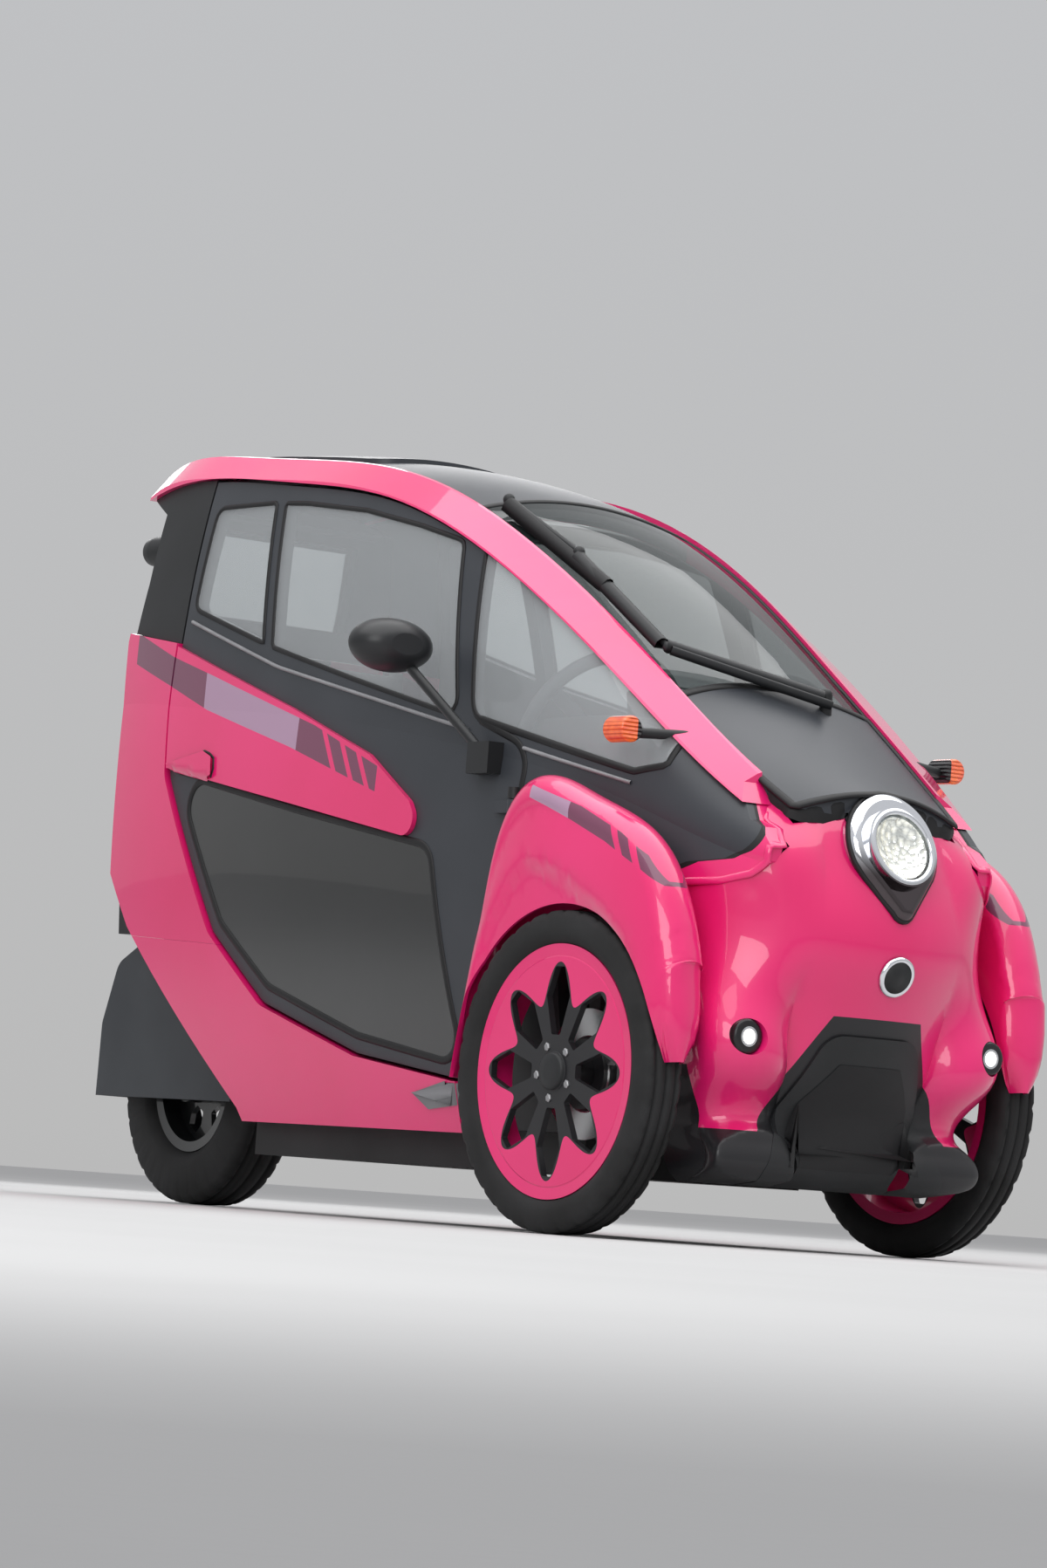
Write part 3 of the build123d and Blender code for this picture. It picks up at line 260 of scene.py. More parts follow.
def add_camera():
    az, el, roll = (math.radians(v) for v in (VIEW_AZIMUTH, VIEW_ELEVATION, VIEW_ROLL))
    back = Vector((math.sin(az) * math.cos(el), -math.cos(az) * math.cos(el), math.sin(el)))
    level = Vector((0, 0, 1)).cross(back).normalized()
    upright = back.cross(level)
    right = level * math.cos(roll) + upright * math.sin(roll)
    up = upright * math.cos(roll) - level * math.sin(roll)
    scale = VIEW_DISTANCE / FOCAL_PIXELS
    place = VIEW_TARGET + back * VIEW_DISTANCE
    place -= right * (TARGET_PIXEL[0] - PHOTO_WIDTH / 2) * scale
    place += up * (TARGET_PIXEL[1] - PHOTO_HEIGHT / 2) * scale
    data = bpy.data.cameras.new("camera")
    data.sensor_fit = "VERTICAL"
    data.sensor_height = SENSOR_HEIGHT
    data.lens = SENSOR_HEIGHT * FOCAL_PIXELS / PHOTO_HEIGHT
    data.clip_end = 200.0
    camera = add_object("camera", data)
    turn = Matrix((right, up, back)).transposed().to_4x4()
    camera.matrix_world = Matrix.Translation(place) @ turn
    bpy.context.scene.camera = camera


def add_light(name, place, target, size, power):
    data = bpy.data.lights.new(name, "AREA")
    data.shape = "RECTANGLE"
    data.size, data.size_y = size
    data.energy = power
    lamp = add_object(name, data)
    aim = (Vector(target) - Vector(place)).to_track_quat("-Z", "Y")
    lamp.matrix_world = Matrix.Translation(place) @ aim.to_matrix().to_4x4()


def set_inputs(node, values):
    for name, value in values.items():
        node.inputs[name].default_value = value


def spread(tree, value, start, end, first, last):
    """Maps start to first and end to last, evenly between them, and holds the ends."""
    span = tree.nodes.new("ShaderNodeMapRange")
    set_inputs(span, {"From Min": start, "From Max": end, "To Min": first, "To Max": last})
    tree.links.new(value, span.inputs["Value"])
    return span


def shade_of(tree, value, shades):
    """The colour that value has on a scale of positions and their colours."""
    ramp = tree.nodes.new("ShaderNodeValToRGB")
    stops = ramp.color_ramp.elements
    for position, colour in shades[1:-1]:
        stops.new(position)
    for stop, (position, colour) in zip(stops, shades):
        stop.position = position
        stop.color = (*colour, 1)
    tree.links.new(value, ramp.inputs[0])
    return ramp.outputs[0]


def set_world():
    """A pale room: bright overhead, softer at eye level and darker near the ground."""
    world = bpy.data.worlds.new("room")
    bpy.context.scene.world = world
    world.use_nodes = True
    tree = world.node_tree
    where = tree.nodes.new("ShaderNodeTexCoord")
    split = tree.nodes.new("ShaderNodeSeparateXYZ")
    tree.links.new(where.outputs["Generated"], split.inputs[0])
    span = spread(tree, split.outputs["Z"], -1.0, 1.0, 0.0, 1.0)
    background = tree.nodes["Background"]
    background.inputs[1].default_value = ROOM_STRENGTH
    tree.links.new(shade_of(tree, span.outputs[0], ROOM_SHADES), background.inputs[0])


# Materials
def shader_of(material):
    return material.node_tree.nodes["Principled BSDF"]


def finish_of(name, colour, roughness, metallic=0.0, coat=0.0, specular=0.5, sheen=0.0):
    material = bpy.data.materials.new(name)
    material.use_nodes = True
    set_inputs(shader_of(material), {
        "Base Color": (*colour, 1), "Roughness": roughness, "Metallic": metallic,
        "Coat Weight": coat, "Coat Roughness": 0.03, "Specular IOR Level": specular,
        "Sheen Weight": sheen,
    })
    return material


def place_in(tree):
    """A socket for the place on the piece, in metres."""
    return tree.nodes.new("ShaderNodeTexCoord").outputs["Object"]


def noise_of(material, scale, detail):
    tree = material.node_tree
    noise = tree.nodes.new("ShaderNodeTexNoise")
    set_inputs(noise, {"Scale": scale, "Detail": detail})
    tree.links.new(place_in(tree), noise.inputs["Vector"])
    return noise.outputs["Fac"]


def vary_colour(material, scale, light, dark):
    """The base colour drifts between two shades in soft patches."""
    tree = material.node_tree
    shade = shade_of(tree, noise_of(material, scale, 5.0), [(0.35, dark), (0.68, light)])
    tree.links.new(shade, shader_of(material).inputs["Base Color"])


def vary_roughness(material, scale, low, high):
    tree = material.node_tree
    span = spread(tree, noise_of(material, scale, 6.0), 0.3, 0.7, low, high)
    tree.links.new(span.outputs[0], shader_of(material).inputs["Roughness"])


def bump_from(material, value, height):
    tree = material.node_tree
    bump = tree.nodes.new("ShaderNodeBump")
    set_inputs(bump, {"Distance": height})
    tree.links.new(value, bump.inputs["Height"])
    tree.links.new(bump.outputs[0], shader_of(material).inputs["Normal"])


def add_bump(material, scale, height):
    bump_from(material, noise_of(material, scale, 2.0), height)


def patched(name, roughness, scale, light, dark, grain=None, **finish):
    """Soft patches of two shades and, where grain gives its scale and height, a grain."""
    material = finish_of(name, light, roughness, **finish)
    vary_colour(material, scale, light, dark)
    if grain:
        add_bump(material, *grain)
    return material


def paint(name, colour, dark):
    """Gloss paint with a clear coat, faint orange peel and slow drifts of shade."""
    return patched(name, 0.32, 2.2, colour, dark, (260.0, 0.00003), coat=1.0, specular=0.35)


def moulded(name, colour, dark, roughness):
    """Moulded plastic with a fine grain."""
    return patched(name, roughness, 6.0, colour, dark, (900.0, 0.00012), specular=0.4)


def bare_metal(name, colour, roughness, scale, low, high):
    """Metal with soft patches between two values of roughness."""
    material = finish_of(name, colour, roughness, metallic=1.0)
    vary_roughness(material, scale, low, high)
    return material


def glass(name, tint, cover, clearness):
    """A thin pane: clear over most of its face, with a tinted gloss that grows at a slant."""
    material = finish_of(name, tint, 0.02, coat=0.6)
    tree = material.node_tree
    clear = tree.nodes.new("ShaderNodeBsdfTransparent")
    clear.inputs[0].default_value = (clearness, clearness + 0.02, clearness + 0.02, 1)
    facing = tree.nodes.new("ShaderNodeLayerWeight")
    slant = value_of(tree, "POWER", facing.outputs["Facing"], 5.0)
    share = spread(tree, slant, 0.0, 1.0, cover, 1.0)
    smear = noise_of(material, 3.0, 6.0)
    haze = value_of(tree, "MULTIPLY_ADD", smear, 0.04, share.outputs[0])
    mix = tree.nodes.new("ShaderNodeMixShader")
    tree.links.new(haze, mix.inputs[0])
    tree.links.new(clear.outputs[0], mix.inputs[1])
    tree.links.new(shader_of(material).outputs[0], mix.inputs[2])
    tree.links.new(mix.outputs[0], tree.nodes["Material Output"].inputs["Surface"])
    return material


# Masks that colour one piece by place, in metres
def value_of(tree, operation, first, second=0.0, third=0.0):
    node = tree.nodes.new("ShaderNodeMath")
    node.operation = operation
    for socket, value in zip(node.inputs, (first, second, third)):
        if isinstance(value, (int, float)):
            socket.default_value = value
        else:
            tree.links.new(value, socket)
    return node.outputs[0]


def below(tree, value, limit):
    return value_of(tree, "LESS_THAN", value, limit)


def above(tree, value, limit):
    return value_of(tree, "GREATER_THAN", value, limit)


def unsigned(tree, value):
    return value_of(tree, "ABSOLUTE", value)


def all_of(tree, *masks):
    result = masks[0]
    for mask in masks[1:]:
        result = value_of(tree, "MULTIPLY", result, mask)
    return result


def places_in(material):
    """The material's node tree, and sockets for x, the distance from the centre line and z."""
    tree = material.node_tree
    split = tree.nodes.new("ShaderNodeSeparateXYZ")
    tree.links.new(place_in(tree), split.inputs[0])
    x, y, z = split.outputs
    return tree, x, unsigned(tree, y), z


def radius_of(tree, across, up):
    squares = value_of(tree, "MULTIPLY_ADD", across, across, value_of(tree, "MULTIPLY", up, up))
    return value_of(tree, "SQRT", squares)


def line_height(tree, along, points, origin):
    """The height of a bent line above each place along it, with its points ahead of origin."""
    low = min(height for ahead, height in points) - 0.1
    high = max(height for ahead, height in points) + 0.1
    start = points[0][0]
    length = points[-1][0] - start
    share = value_of(tree, "MULTIPLY_ADD", along, 1 / length, -(origin + start) / length)
    grays = [
        ((ahead - start) / length, ((height - low) / (high - low),) * 3)
        for ahead, height in points
    ]
    return value_of(tree, "MULTIPLY_ADD", shade_of(tree, share, grays), high - low, low)


def stripe_mask(material, top, low, cuts):
    """The band between two lines, cut by slanting gaps where cuts gives their x."""
    tree, x, apart, z = places_in(material)
    mask = all_of(
        tree,
        below(tree, z, line_height(tree, x, top, FRONT_AXLE_X)),
        above(tree, z, line_height(tree, x, low, FRONT_AXLE_X)),
        above(tree, x, FRONT_AXLE_X + top[0][0]),
        below(tree, x, FRONT_AXLE_X + cuts[-1] + STRIPE_BEYOND_CUTS),
    )
    slant = value_of(tree, "MULTIPLY_ADD", z, STRIPE_SLANT, x)
    for ahead in cuts:
        share = (ahead - top[0][0]) / (top[-1][0] - top[0][0])
        height = top[0][1] + share * (top[-1][1] - top[0][1])
        middle = FRONT_AXLE_X + ahead + STRIPE_SLANT * height
        gap = unsigned(tree, value_of(tree, "SUBTRACT", slant, middle))
        mask = all_of(tree, mask, above(tree, gap, STRIPE_HALF_GAP))
    return mask


def repaint(material, mask, values):
    """Gives the shader's inputs other values where the mask is 1."""
    tree = material.node_tree
    shader = shader_of(material)
    for name, value in values.items():
        socket = shader.inputs[name]
        coloured = isinstance(value, tuple)
        mix = tree.nodes.new("ShaderNodeMix")
        mix.data_type = "RGBA" if coloured else "FLOAT"
        first, second, result = (6, 7, 2) if coloured else (2, 3, 0)
        tree.links.new(mask, mix.inputs[0])
        if socket.is_linked:
            tree.links.new(socket.links[0].from_socket, mix.inputs[first])
        else:
            mix.inputs[first].default_value = socket.default_value
        mix.inputs[second].default_value = (*value, 1) if coloured else value
        tree.links.new(mix.outputs[result], socket)


# Looks of single pieces
def make_rim_look():
    """Pink rim with eight lobes round a black star, and a bare brake disc."""
    star_radius, star_wave, rays = 0.152, 0.034, 8.0
    disc_y, disc_radius = 0.3525, 0.115
    material = paint("front rim paint", PINK, PINK_SHADE)
    tree, x, apart, z = places_in(material)
    across = value_of(tree, "SUBTRACT", x, FRONT_AXLE_X)
    up = value_of(tree, "SUBTRACT", z, FRONT_TYRE_RADIUS)
    radius = radius_of(tree, across, up)
    angle = value_of(tree, "ARCTAN2", up, across)
    wave = value_of(tree, "COSINE", value_of(tree, "MULTIPLY", angle, rays))
    reach = value_of(tree, "MULTIPLY_ADD", wave, star_wave, star_radius)
    repaint(material, below(tree, radius, reach), BLACK_PART)
    disc = all_of(tree, below(tree, apart, disc_y), below(tree, radius, disc_radius))
    repaint(material, disc, {"Base Color": (0.55, 0.55, 0.56), "Roughness": 0.25, "Metallic": 1.0})
    return material


def make_stripe_look(name, top, low, cuts, pale):
    """Pink with a dark plum stripe that is pale between the two places in pale."""
    material = paint(name, PINK, PINK_SHADE)
    mask = stripe_mask(material, top, low, cuts)
    repaint(material, mask, {"Base Color": (0.16, 0.03, 0.08), "Roughness": 0.34})
    tree, x, apart, z = places_in(material)
    start, end = (FRONT_AXLE_X + ahead for ahead in pale)
    middle = all_of(tree, mask, above(tree, x, start), below(tree, x, end))
    repaint(material, middle, {"Base Color": (0.40, 0.24, 0.36)})
    return material


def make_nose_look():
    """Pink above; black below, round the chin and on the flanks in front of the wheel arches, partly
    the dark underside and partly painted shade.
    """
    border_y, border_z, border_rise, border_top = 0.205, 0.196, 1.85, 0.398
    flank_z, flank_x = 0.30, FRONT_AXLE_X + 0.225
    material = paint("nose paint", PINK, PINK_SHADE)
    tree, x, apart, z = places_in(material)
    inward = value_of(tree, "SUBTRACT", border_y, apart)
    inside = value_of(tree, "MAXIMUM", inward, 0.0)
    beside_chin = value_of(tree, "MULTIPLY_ADD", inside, border_rise, border_z)
    underside_and_shade = below(tree, z, value_of(tree, "MINIMUM", beside_chin, border_top))
    flank_and_shade = all_of(tree, below(tree, z, flank_z), below(tree, x, flank_x))
    # The black here is partly the dark underside and partly painted shade under the nose and its legs
    repaint(material, value_of(tree, "MAXIMUM", underside_and_shade, flank_and_shade), BLACK_PART)
    return material


def front_of_cheek(material, lead):
    """The part of a cheek panel that faces forward, up to lead metres further out."""
    tree, x, apart, z = places_in(material)
    limit = value_of(tree, "ADD", line_height(tree, z, CHEEK_FRONT, 0.0), lead)
    return below(tree, apart, limit)


def make_cheek_look(material):
    """Pink where the cheek faces forward, with a black line at the border."""
    line = {"Base Color": (0.008, 0.008, 0.009), "Roughness": 0.5, "Coat Weight": 0.0}
    repaint(material, front_of_cheek(material, CHEEK_LINE), line)
    pink = {"Base Color": (0.78, 0.011, 0.155), "Roughness": 0.32, "Coat Weight": 1.0}
    repaint(material, front_of_cheek(material, 0.0), pink)
    return material


def make_lamp_shell_look():
    """Chrome that darkens towards the tip of the drop."""
    bright_z, dark_z = 0.700, 0.635
    material = bare_metal("lamp shell chrome", CHROME, 0.08, 12.0, 0.05, 0.12)
    tree, x, apart, z = places_in(material)
    span = spread(tree, z, bright_z, dark_z, 0.0, 1.0)
    span.interpolation_type = "SMOOTHSTEP"
    repaint(material, span.outputs[0], {"Base Color": (0.10, 0.085, 0.09)})
    return material


def make_fog_look():
    """A black bezel with a bright lamp in its middle."""
    ring_radius, lamp_radius = 0.017, 0.013
    material = moulded("fog lamp", HOUSING, (0.012, 0.012, 0.013), 0.2)
    tree, x, apart, z = places_in(material)
    across = value_of(tree, "SUBTRACT", apart, FOG_Y)
    up = value_of(tree, "SUBTRACT", z, FOG_Z)
    radius = radius_of(tree, across, up)
    ring = below(tree, radius, ring_radius)
    repaint(material, ring, {"Base Color": (0.75, 0.77, 0.80), "Metallic": 1.0})
    set_inputs(shader_of(material), {"Emission Color": (1.0, 0.97, 0.90, 1)})
    repaint(material, below(tree, radius, lamp_radius), {"Emission Strength": 1.6})
    return material


def make_signal_look():
    """Ribbed orange lens on a dark housing."""
    ribs, housing_y = 900.0, 0.350
    material = patched("orange lens", 0.14, 60.0, (0.98, 0.17, 0.01), (0.80, 0.07, 0.005), coat=1.0)
    tree, x, apart, z = places_in(material)
    wave = value_of(tree, "SINE", value_of(tree, "MULTIPLY", z, ribs))
    bump_from(material, wave, 0.002)
    glow = {"Emission Color": (0.9, 0.10, 0.01, 1), "Emission Strength": 0.15}
    set_inputs(shader_of(material), glow)
    dark = {"Base Color": HOUSING, "Roughness": 0.45, "Coat Weight": 0.0, "Emission Strength": 0.0}
    repaint(material, below(tree, apart, housing_y), dark)
    return material


def make_mirror_look():
    """Black shell with a silvered face to the rear, above the arm."""
    backward, head_z = -0.97, 0.95
    material = moulded("mirror shell", (0.020, 0.021, 0.023), (0.014, 0.015, 0.016), 0.35)
    tree, x, apart, z = places_in(material)
    facing = tree.nodes.new("ShaderNodeNewGeometry")
    split = tree.nodes.new("ShaderNodeSeparateXYZ")
    tree.links.new(facing.outputs["True Normal"], split.inputs[0])
    face = all_of(tree, below(tree, split.outputs["X"], backward), above(tree, z, head_z))
    repaint(material, face, {"Base Color": (0.86, 0.88, 0.90), "Roughness": 0.02, "Metallic": 1.0})
    return material


def make_suspension_look():
    """Black arms and uprights with a bare caliper."""
    caliper_x, caliper_y = FRONT_AXLE_X + 0.0595, 0.300
    material = moulded("suspension black", UNDERSIDE, UNDERSIDE_SHADE, 0.6)
    tree, x, apart, z = places_in(material)
    caliper = all_of(tree, above(tree, x, caliper_x), above(tree, apart, caliper_y))
    repaint(material, caliper, {"Base Color": (0.50, 0.50, 0.51), "Roughness": 0.38, "Metallic": 1.0})
    return material


def make_core_look():
    """The lit reflector seen through the lens: bright facets on a warm ground."""
    material = finish_of("lit reflector", (0.85, 0.85, 0.82), 0.12, metallic=1.0)
    tree = material.node_tree
    cells = tree.nodes.new("ShaderNodeTexVoronoi")
    set_inputs(cells, {"Scale": 90.0})
    tree.links.new(place_in(tree), cells.inputs["Vector"])
    share = spread(tree, cells.outputs["Distance"], 0.0, 0.7, 0.75, 0.05)
    shader = shader_of(material)
    set_inputs(shader, {"Emission Color": (1.0, 0.95, 0.80, 1)})
    tree.links.new(share.outputs[0], shader.inputs["Emission Strength"])
    bump_from(material, cells.outputs["Distance"], 0.004)
    return material


def make_metal_look():
    material = bare_metal("cast metal", (0.42, 0.42, 0.43), 0.42, 30.0, 0.30, 0.55)
    add_bump(material, 500.0, 0.0002)
    return material


def make_tyre_look():
    light, dark = (0.022, 0.022, 0.023), (0.012, 0.012, 0.012)
    return patched("tyre rubber", 0.72, 9.0, light, dark, (700.0, 0.0003), specular=0.3)


def make_fabric_look():
    light, dark = (0.055, 0.056, 0.06), (0.03, 0.031, 0.034)
    return patched("seat fabric", 0.9, 40.0, light, dark, (1400.0, 0.0006), sheen=0.4)


# Plastics and rubber: look, material, colour, darker shade and roughness
MOULDED_LOOKS = [
    ("panel", "dark satin panel", PANEL, PANEL_SHADE, 0.40),
    ("black", "black plastic", (0.018, 0.019, 0.021), (0.012, 0.013, 0.014), 0.48),
    ("guard", "mudguard plastic", (0.045, 0.050, 0.056), (0.034, 0.038, 0.044), 0.52),
    ("rubber", "seal rubber", RUBBER, RUBBER_SHADE, 0.55),
    ("chassis", "chassis black", UNDERSIDE, UNDERSIDE_SHADE, 0.6),
    ("sill_trim", "gray trim", (0.20, 0.20, 0.21), (0.16, 0.16, 0.17), 0.4),
    ("interior", "grained interior plastic", (0.030, 0.031, 0.034), (0.02, 0.02, 0.022), 0.6),
    ("grip", "wheel grip", (0.17, 0.17, 0.18), (0.12, 0.12, 0.13), 0.5),
]

# Panes: look, material, tint, share of gloss seen straight on and clearness
GLASS_LOOKS = [
    ("glass", "window glass", (0.58, 0.60, 0.62), 0.27, 0.97),
    ("windscreen", "windscreen glass", (0.03, 0.04, 0.04), 0.30, 0.86),
    ("lamp_glass", "lamp lens", (0.9, 0.9, 0.9), 0.06, 0.96),
]


def make_materials():
    made = {
        "pink": paint("pink paint", PINK, PINK_SHADE),
        "dark_gloss": paint("dark gloss panel", (0.012, 0.013, 0.014), (0.006, 0.007, 0.007)),
        "nose": make_nose_look(),
        "cheek": make_cheek_look(moulded("cheek panel", PANEL, PANEL_SHADE, 0.40)),
        "cheek_seal": make_cheek_look(moulded("cheek seal rubber", RUBBER, RUBBER_SHADE, 0.55)),
        "swoosh": make_stripe_look(
            "striped pink paint", SWOOSH_STRIPE_TOP, SWOOSH_STRIPE_LOW, SWOOSH_CUTS, SWOOSH_PALE
        ),
        "fender": make_stripe_look(
            "striped fender paint", FENDER_STRIPE_TOP, FENDER_STRIPE_LOW, FENDER_CUTS, FENDER_PALE
        ),
        "front_rim": make_rim_look(),
        "lamp_shell": make_lamp_shell_look(),
        "fog": make_fog_look(),
        "signal": make_signal_look(),
        "mirror": make_mirror_look(),
        "suspension": make_suspension_look(),
        "core": make_core_look(),
        # Light strip colour used only on the belt lines, where it is a painted highlight
        "trim": patched("belt line painted highlight", 0.30, 30.0, (0.26, 0.26, 0.27), (0.20, 0.20, 0.21)),
        "red": patched("red lens", 0.14, 60.0, (0.5, 0.01, 0.01), (0.30, 0.004, 0.006), coat=1.0),
        "chrome": bare_metal("chrome", CHROME, 0.08, 12.0, 0.04, 0.14),
        "metal": make_metal_look(),
        "tyre": make_tyre_look(),
        "fabric": make_fabric_look(),
    }
    for look, name, colour, dark, roughness in MOULDED_LOOKS:
        made[look] = moulded(name, colour, dark, roughness)
    for look, name, tint, cover, clearness in GLASS_LOOKS:
        made[look] = glass(name, tint, cover, clearness)
    return made


# CAD nodes of each look
NODE_LOOKS = {
    "pink": ["roof_rails", "sills"],
    "nose": ["nose_panel"],
    "swoosh": ["door_left_accent", "door_right_accent", "rear_pillars"],
    "fender": ["front_fenders"],
    "front_rim": ["wheel_front_left_rim", "wheel_front_right_rim"],
    "panel": ["roof_panel", "bonnet", "door_left_frame", "door_right_frame"],
    "cheek": ["cheek_panels"],
    "black": ["tail_frame", "tail_panel", "tail_carrier", "chin", "wheelhouse_panels",
              "signal_stalks", "wiper", "door_hinges"],
    "fog": ["fog_lamps"],
    "mirror": ["door_left_mirror", "door_right_mirror"],
    "suspension": ["front_suspension"],
    "guard": ["rear_mudguard"],
    "dark_gloss": ["door_left_lower_panel", "door_right_lower_panel", "wheel_rear_rim"],
    "chassis": ["floor_tray", "battery_case", "rear_fork"],
    "glass": ["door_left_glass", "door_right_glass", "quarter_glass", "rear_window"],
    "windscreen": ["windscreen"],
    "lamp_shell": ["headlamp_housing"],
    "lamp_glass": ["headlamp_lens"],
    "signal": ["turn_signals"],
    "red": ["tail_lamps"],
    "interior": ["dashboard"],
    "grip": ["steering_wheel"],
    "fabric": ["seat_front_cushion", "seat_front_back", "seat_rear_cushion", "seat_rear_back"],
    "tyre": ["wheel_front_left_tyre", "wheel_front_right_tyre", "wheel_rear_tyre"],
}


add_camera()
set_world()
for light in LIGHTS:
    add_light(*light)
looks = make_materials()
for look, members in NODE_LOOKS.items():
    for member in members:
        mesh = nodes[member].data
        mesh.materials.clear()
        mesh.materials.append(looks[look])


# Making pieces
def add_piece(name, points, faces, look, body="body", smooth=True):
    data = bpy.data.meshes.new(name)
    data.from_pydata([tuple(point) for point in points], [], faces)
    data.materials.append(looks[look])
    data.polygons.foreach_set("use_smooth", [smooth] * len(data.polygons))
    data.update()
    piece = add_object(name, data)
    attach(piece, body)
    return piece


def ring_faces(rows, columns, closed_rows=False, closed_columns=True):
    """Quads between neighbouring rows of points."""
    faces = []
    for row in range(rows if closed_rows else rows - 1):
        for column in range(columns if closed_columns else columns - 1):
            other_row = (row + 1) % rows
            other_column = (column + 1) % columns
            faces.append(
                (row * columns + column, row * columns + other_column,
                 other_row * columns + other_column, other_row * columns + column)
            )
    return faces


def shifted(faces, count):
    """The same faces for points that follow count others."""
    return [tuple(index + count for index in face) for face in faces]


# Section of a strip: share of its width from the middle and share of its height
STRIP_SECTION = [
    (-0.5, -0.5), (-0.5, 0.35), (-0.25, 0.9), (0.0, 1.0), (0.25, 0.9), (0.5, 0.35), (0.5, -0.5),
]


def bead_points(path, normals, closed, width, height):
    """A low rounded strip along a path, lying on the surface that the normals stand on."""
    points = []
    count = len(path)
    for number in range(count):
        ahead = path[(number + 1) % count] if closed or number < count - 1 else path[number]
        behind = path[number - 1] if closed or number > 0 else path[number]
        tangent = (ahead - behind).normalized()
        normal = normals[number]
        side = tangent.cross(normal).normalized()
        for across, up in STRIP_SECTION:
            points.append(path[number] + side * (across * width) + normal * (up * height))
    return points, ring_faces(count, len(STRIP_SECTION), closed_rows=closed)


def add_beads(name, runs, strip, look, body="body"):
    """One piece from several strips, each a path with its normals, closed or open."""
    points, faces = [], []
    for run in runs:
        more, more_faces = bead_points(*run, *strip)
        faces += shifted(more_faces, len(points))
        points += more
    return add_piece(name, points, faces, look, body)


def revolve_points(profile, centre, axis, start, segments):
    """Points of a profile (distance along the axis, radius) turned about the axis."""
    other = axis.cross(start)
    points = []
    for segment in range(segments):
        angle = 2 * math.pi * segment / segments
        out = start * math.cos(angle) + other * math.sin(angle)
        for along, radius in profile:
            points.append(centre + axis * along + out * radius)
    return points, ring_faces(segments, len(profile), closed_rows=True, closed_columns=False)


def add_turned(name, profile, centre, axis, start, segments, look, body="body"):
    points, faces = revolve_points(profile, centre, axis, start, segments)
    return add_piece(name, points, faces, look, body)


# Pieces reshaped from their solids
shaped = {}


def mesh_of(name):
    """The mesh that shows for a CAD piece: its reshaped copy, where there is one."""
    return shaped[name].data if name in shaped else nodes[name].data


def between(table, value):
    """A value read from a table of pairs, straight between the rows."""
    if value <= table[0][0]:
        return table[0][1]
    for (low, first), (high, second) in zip(table, table[1:]):
        if value <= high:
            return first + (second - first) * (value - low) / (high - low)
    return table[-1][1]


def clamped(share):
    return min(max(share, 0.0), 1.0)


def about_axle(place):
    """Radius from the front axle and angle up from straight ahead."""
    ahead, up = place.x - FRONT_AXLE_X, place.z - FRONT_TYRE_RADIUS
    return math.hypot(ahead, up), math.degrees(math.atan2(up, ahead))


def at_bend(place):
    reach, turn = about_axle(place)
    return BEND_FROM < turn < BEND_TO and reach > BEND_RADIUS


def fender_place(place):
    """A crease above the wheel arch, and the front end drawn down to a rounded tip."""
    reach, turn = about_axle(place)
    across = abs(place.y)
    if FENDER_LOWEST < turn < FENDER_BEND:
        turn = FENDER_BEND - (FENDER_BEND - turn) * FENDER_DRAWN
        share = clamped((TIP_START - turn) / (TIP_START - TIP_END))
        across = TIP_Y + (across - TIP_Y) * math.sqrt(1 - TIP_NARROWED * share ** 2)
        reach -= TIP_LIFT * share ** 3
    if across > CREASE_OUTSIDE_Y:
        inside = between(FENDER_CREASE, turn) - reach
        across -= CREASE_DEPTH * clamped(inside / CREASE_WIDTH)
    angle = math.radians(turn)
    ahead = FRONT_AXLE_X + reach * math.cos(angle)
    height = FRONT_TYRE_RADIUS + reach * math.sin(angle)
    return Vector((ahead, math.copysign(1.0, place.y) * across, height))


def nose_place(place):
    """The lower lip drawn back to the line of the chin."""
    low = clamped((LIP_TOP_Z - place.z) / LIP_HEIGHT)
    low *= low * (3 - 2 * low)
    beyond = max(place.x - FRONT_AXLE_X - LIP_KEPT, 0.0)
    return Vector((place.x - LIP_DRAWN * low * beyond, place.y, place.z))


def welded(mesh):
    build = bmesh.new()
    build.from_mesh(mesh)
    bmesh.ops.remove_doubles(build, verts=build.verts, dist=WELD)
    return build


def piece_from(build, points, name, look, body="body"):
    """A piece with the faces of build, and points in the place of its own."""
    build.verts.index_update()
    faces = [tuple(vertex.index for vertex in face.verts) for face in build.faces]
    build.free()
    return add_piece(name, points, faces, look, body)


def reshape(node, look, rule, uneven=None):
    """A copy of a CAD piece with its points moved by rule, in the place of that piece."""
    build = welded(nodes[node].data)
    if uneven:
        rough = [vertex for vertex in build.verts if uneven(vertex.co)]
        for turn in range(SMOOTH_ROUNDS):
            bmesh.ops.smooth_vert(
                build, verts=rough, factor=0.5, use_axis_x=True, use_axis_y=True, use_axis_z=True
            )
    points = [rule(vertex.co) for vertex in build.verts]
    piece = piece_from(build, points, node + "_shaped", look)
    piece.data.set_sharp_from_angle(angle=math.radians(SHARP_ANGLE))
    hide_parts(node)
    shaped[node] = piece


reshape("front_fenders", "fender", fender_place, at_bend)
reshape("nose_panel", "nose", nose_place)
reshape("chin", "black", nose_place)


# Surfaces and edges of the CAD pieces, for what lies on them
def surface_of(names):
    corners, faces = [], []
    for name in names:
        mesh = mesh_of(name)
        faces += shifted([polygon.vertices for polygon in mesh.polygons], len(corners))
        corners += [vertex.co.copy() for vertex in mesh.vertices]
    return BVHTree.FromPolygons(corners, faces)


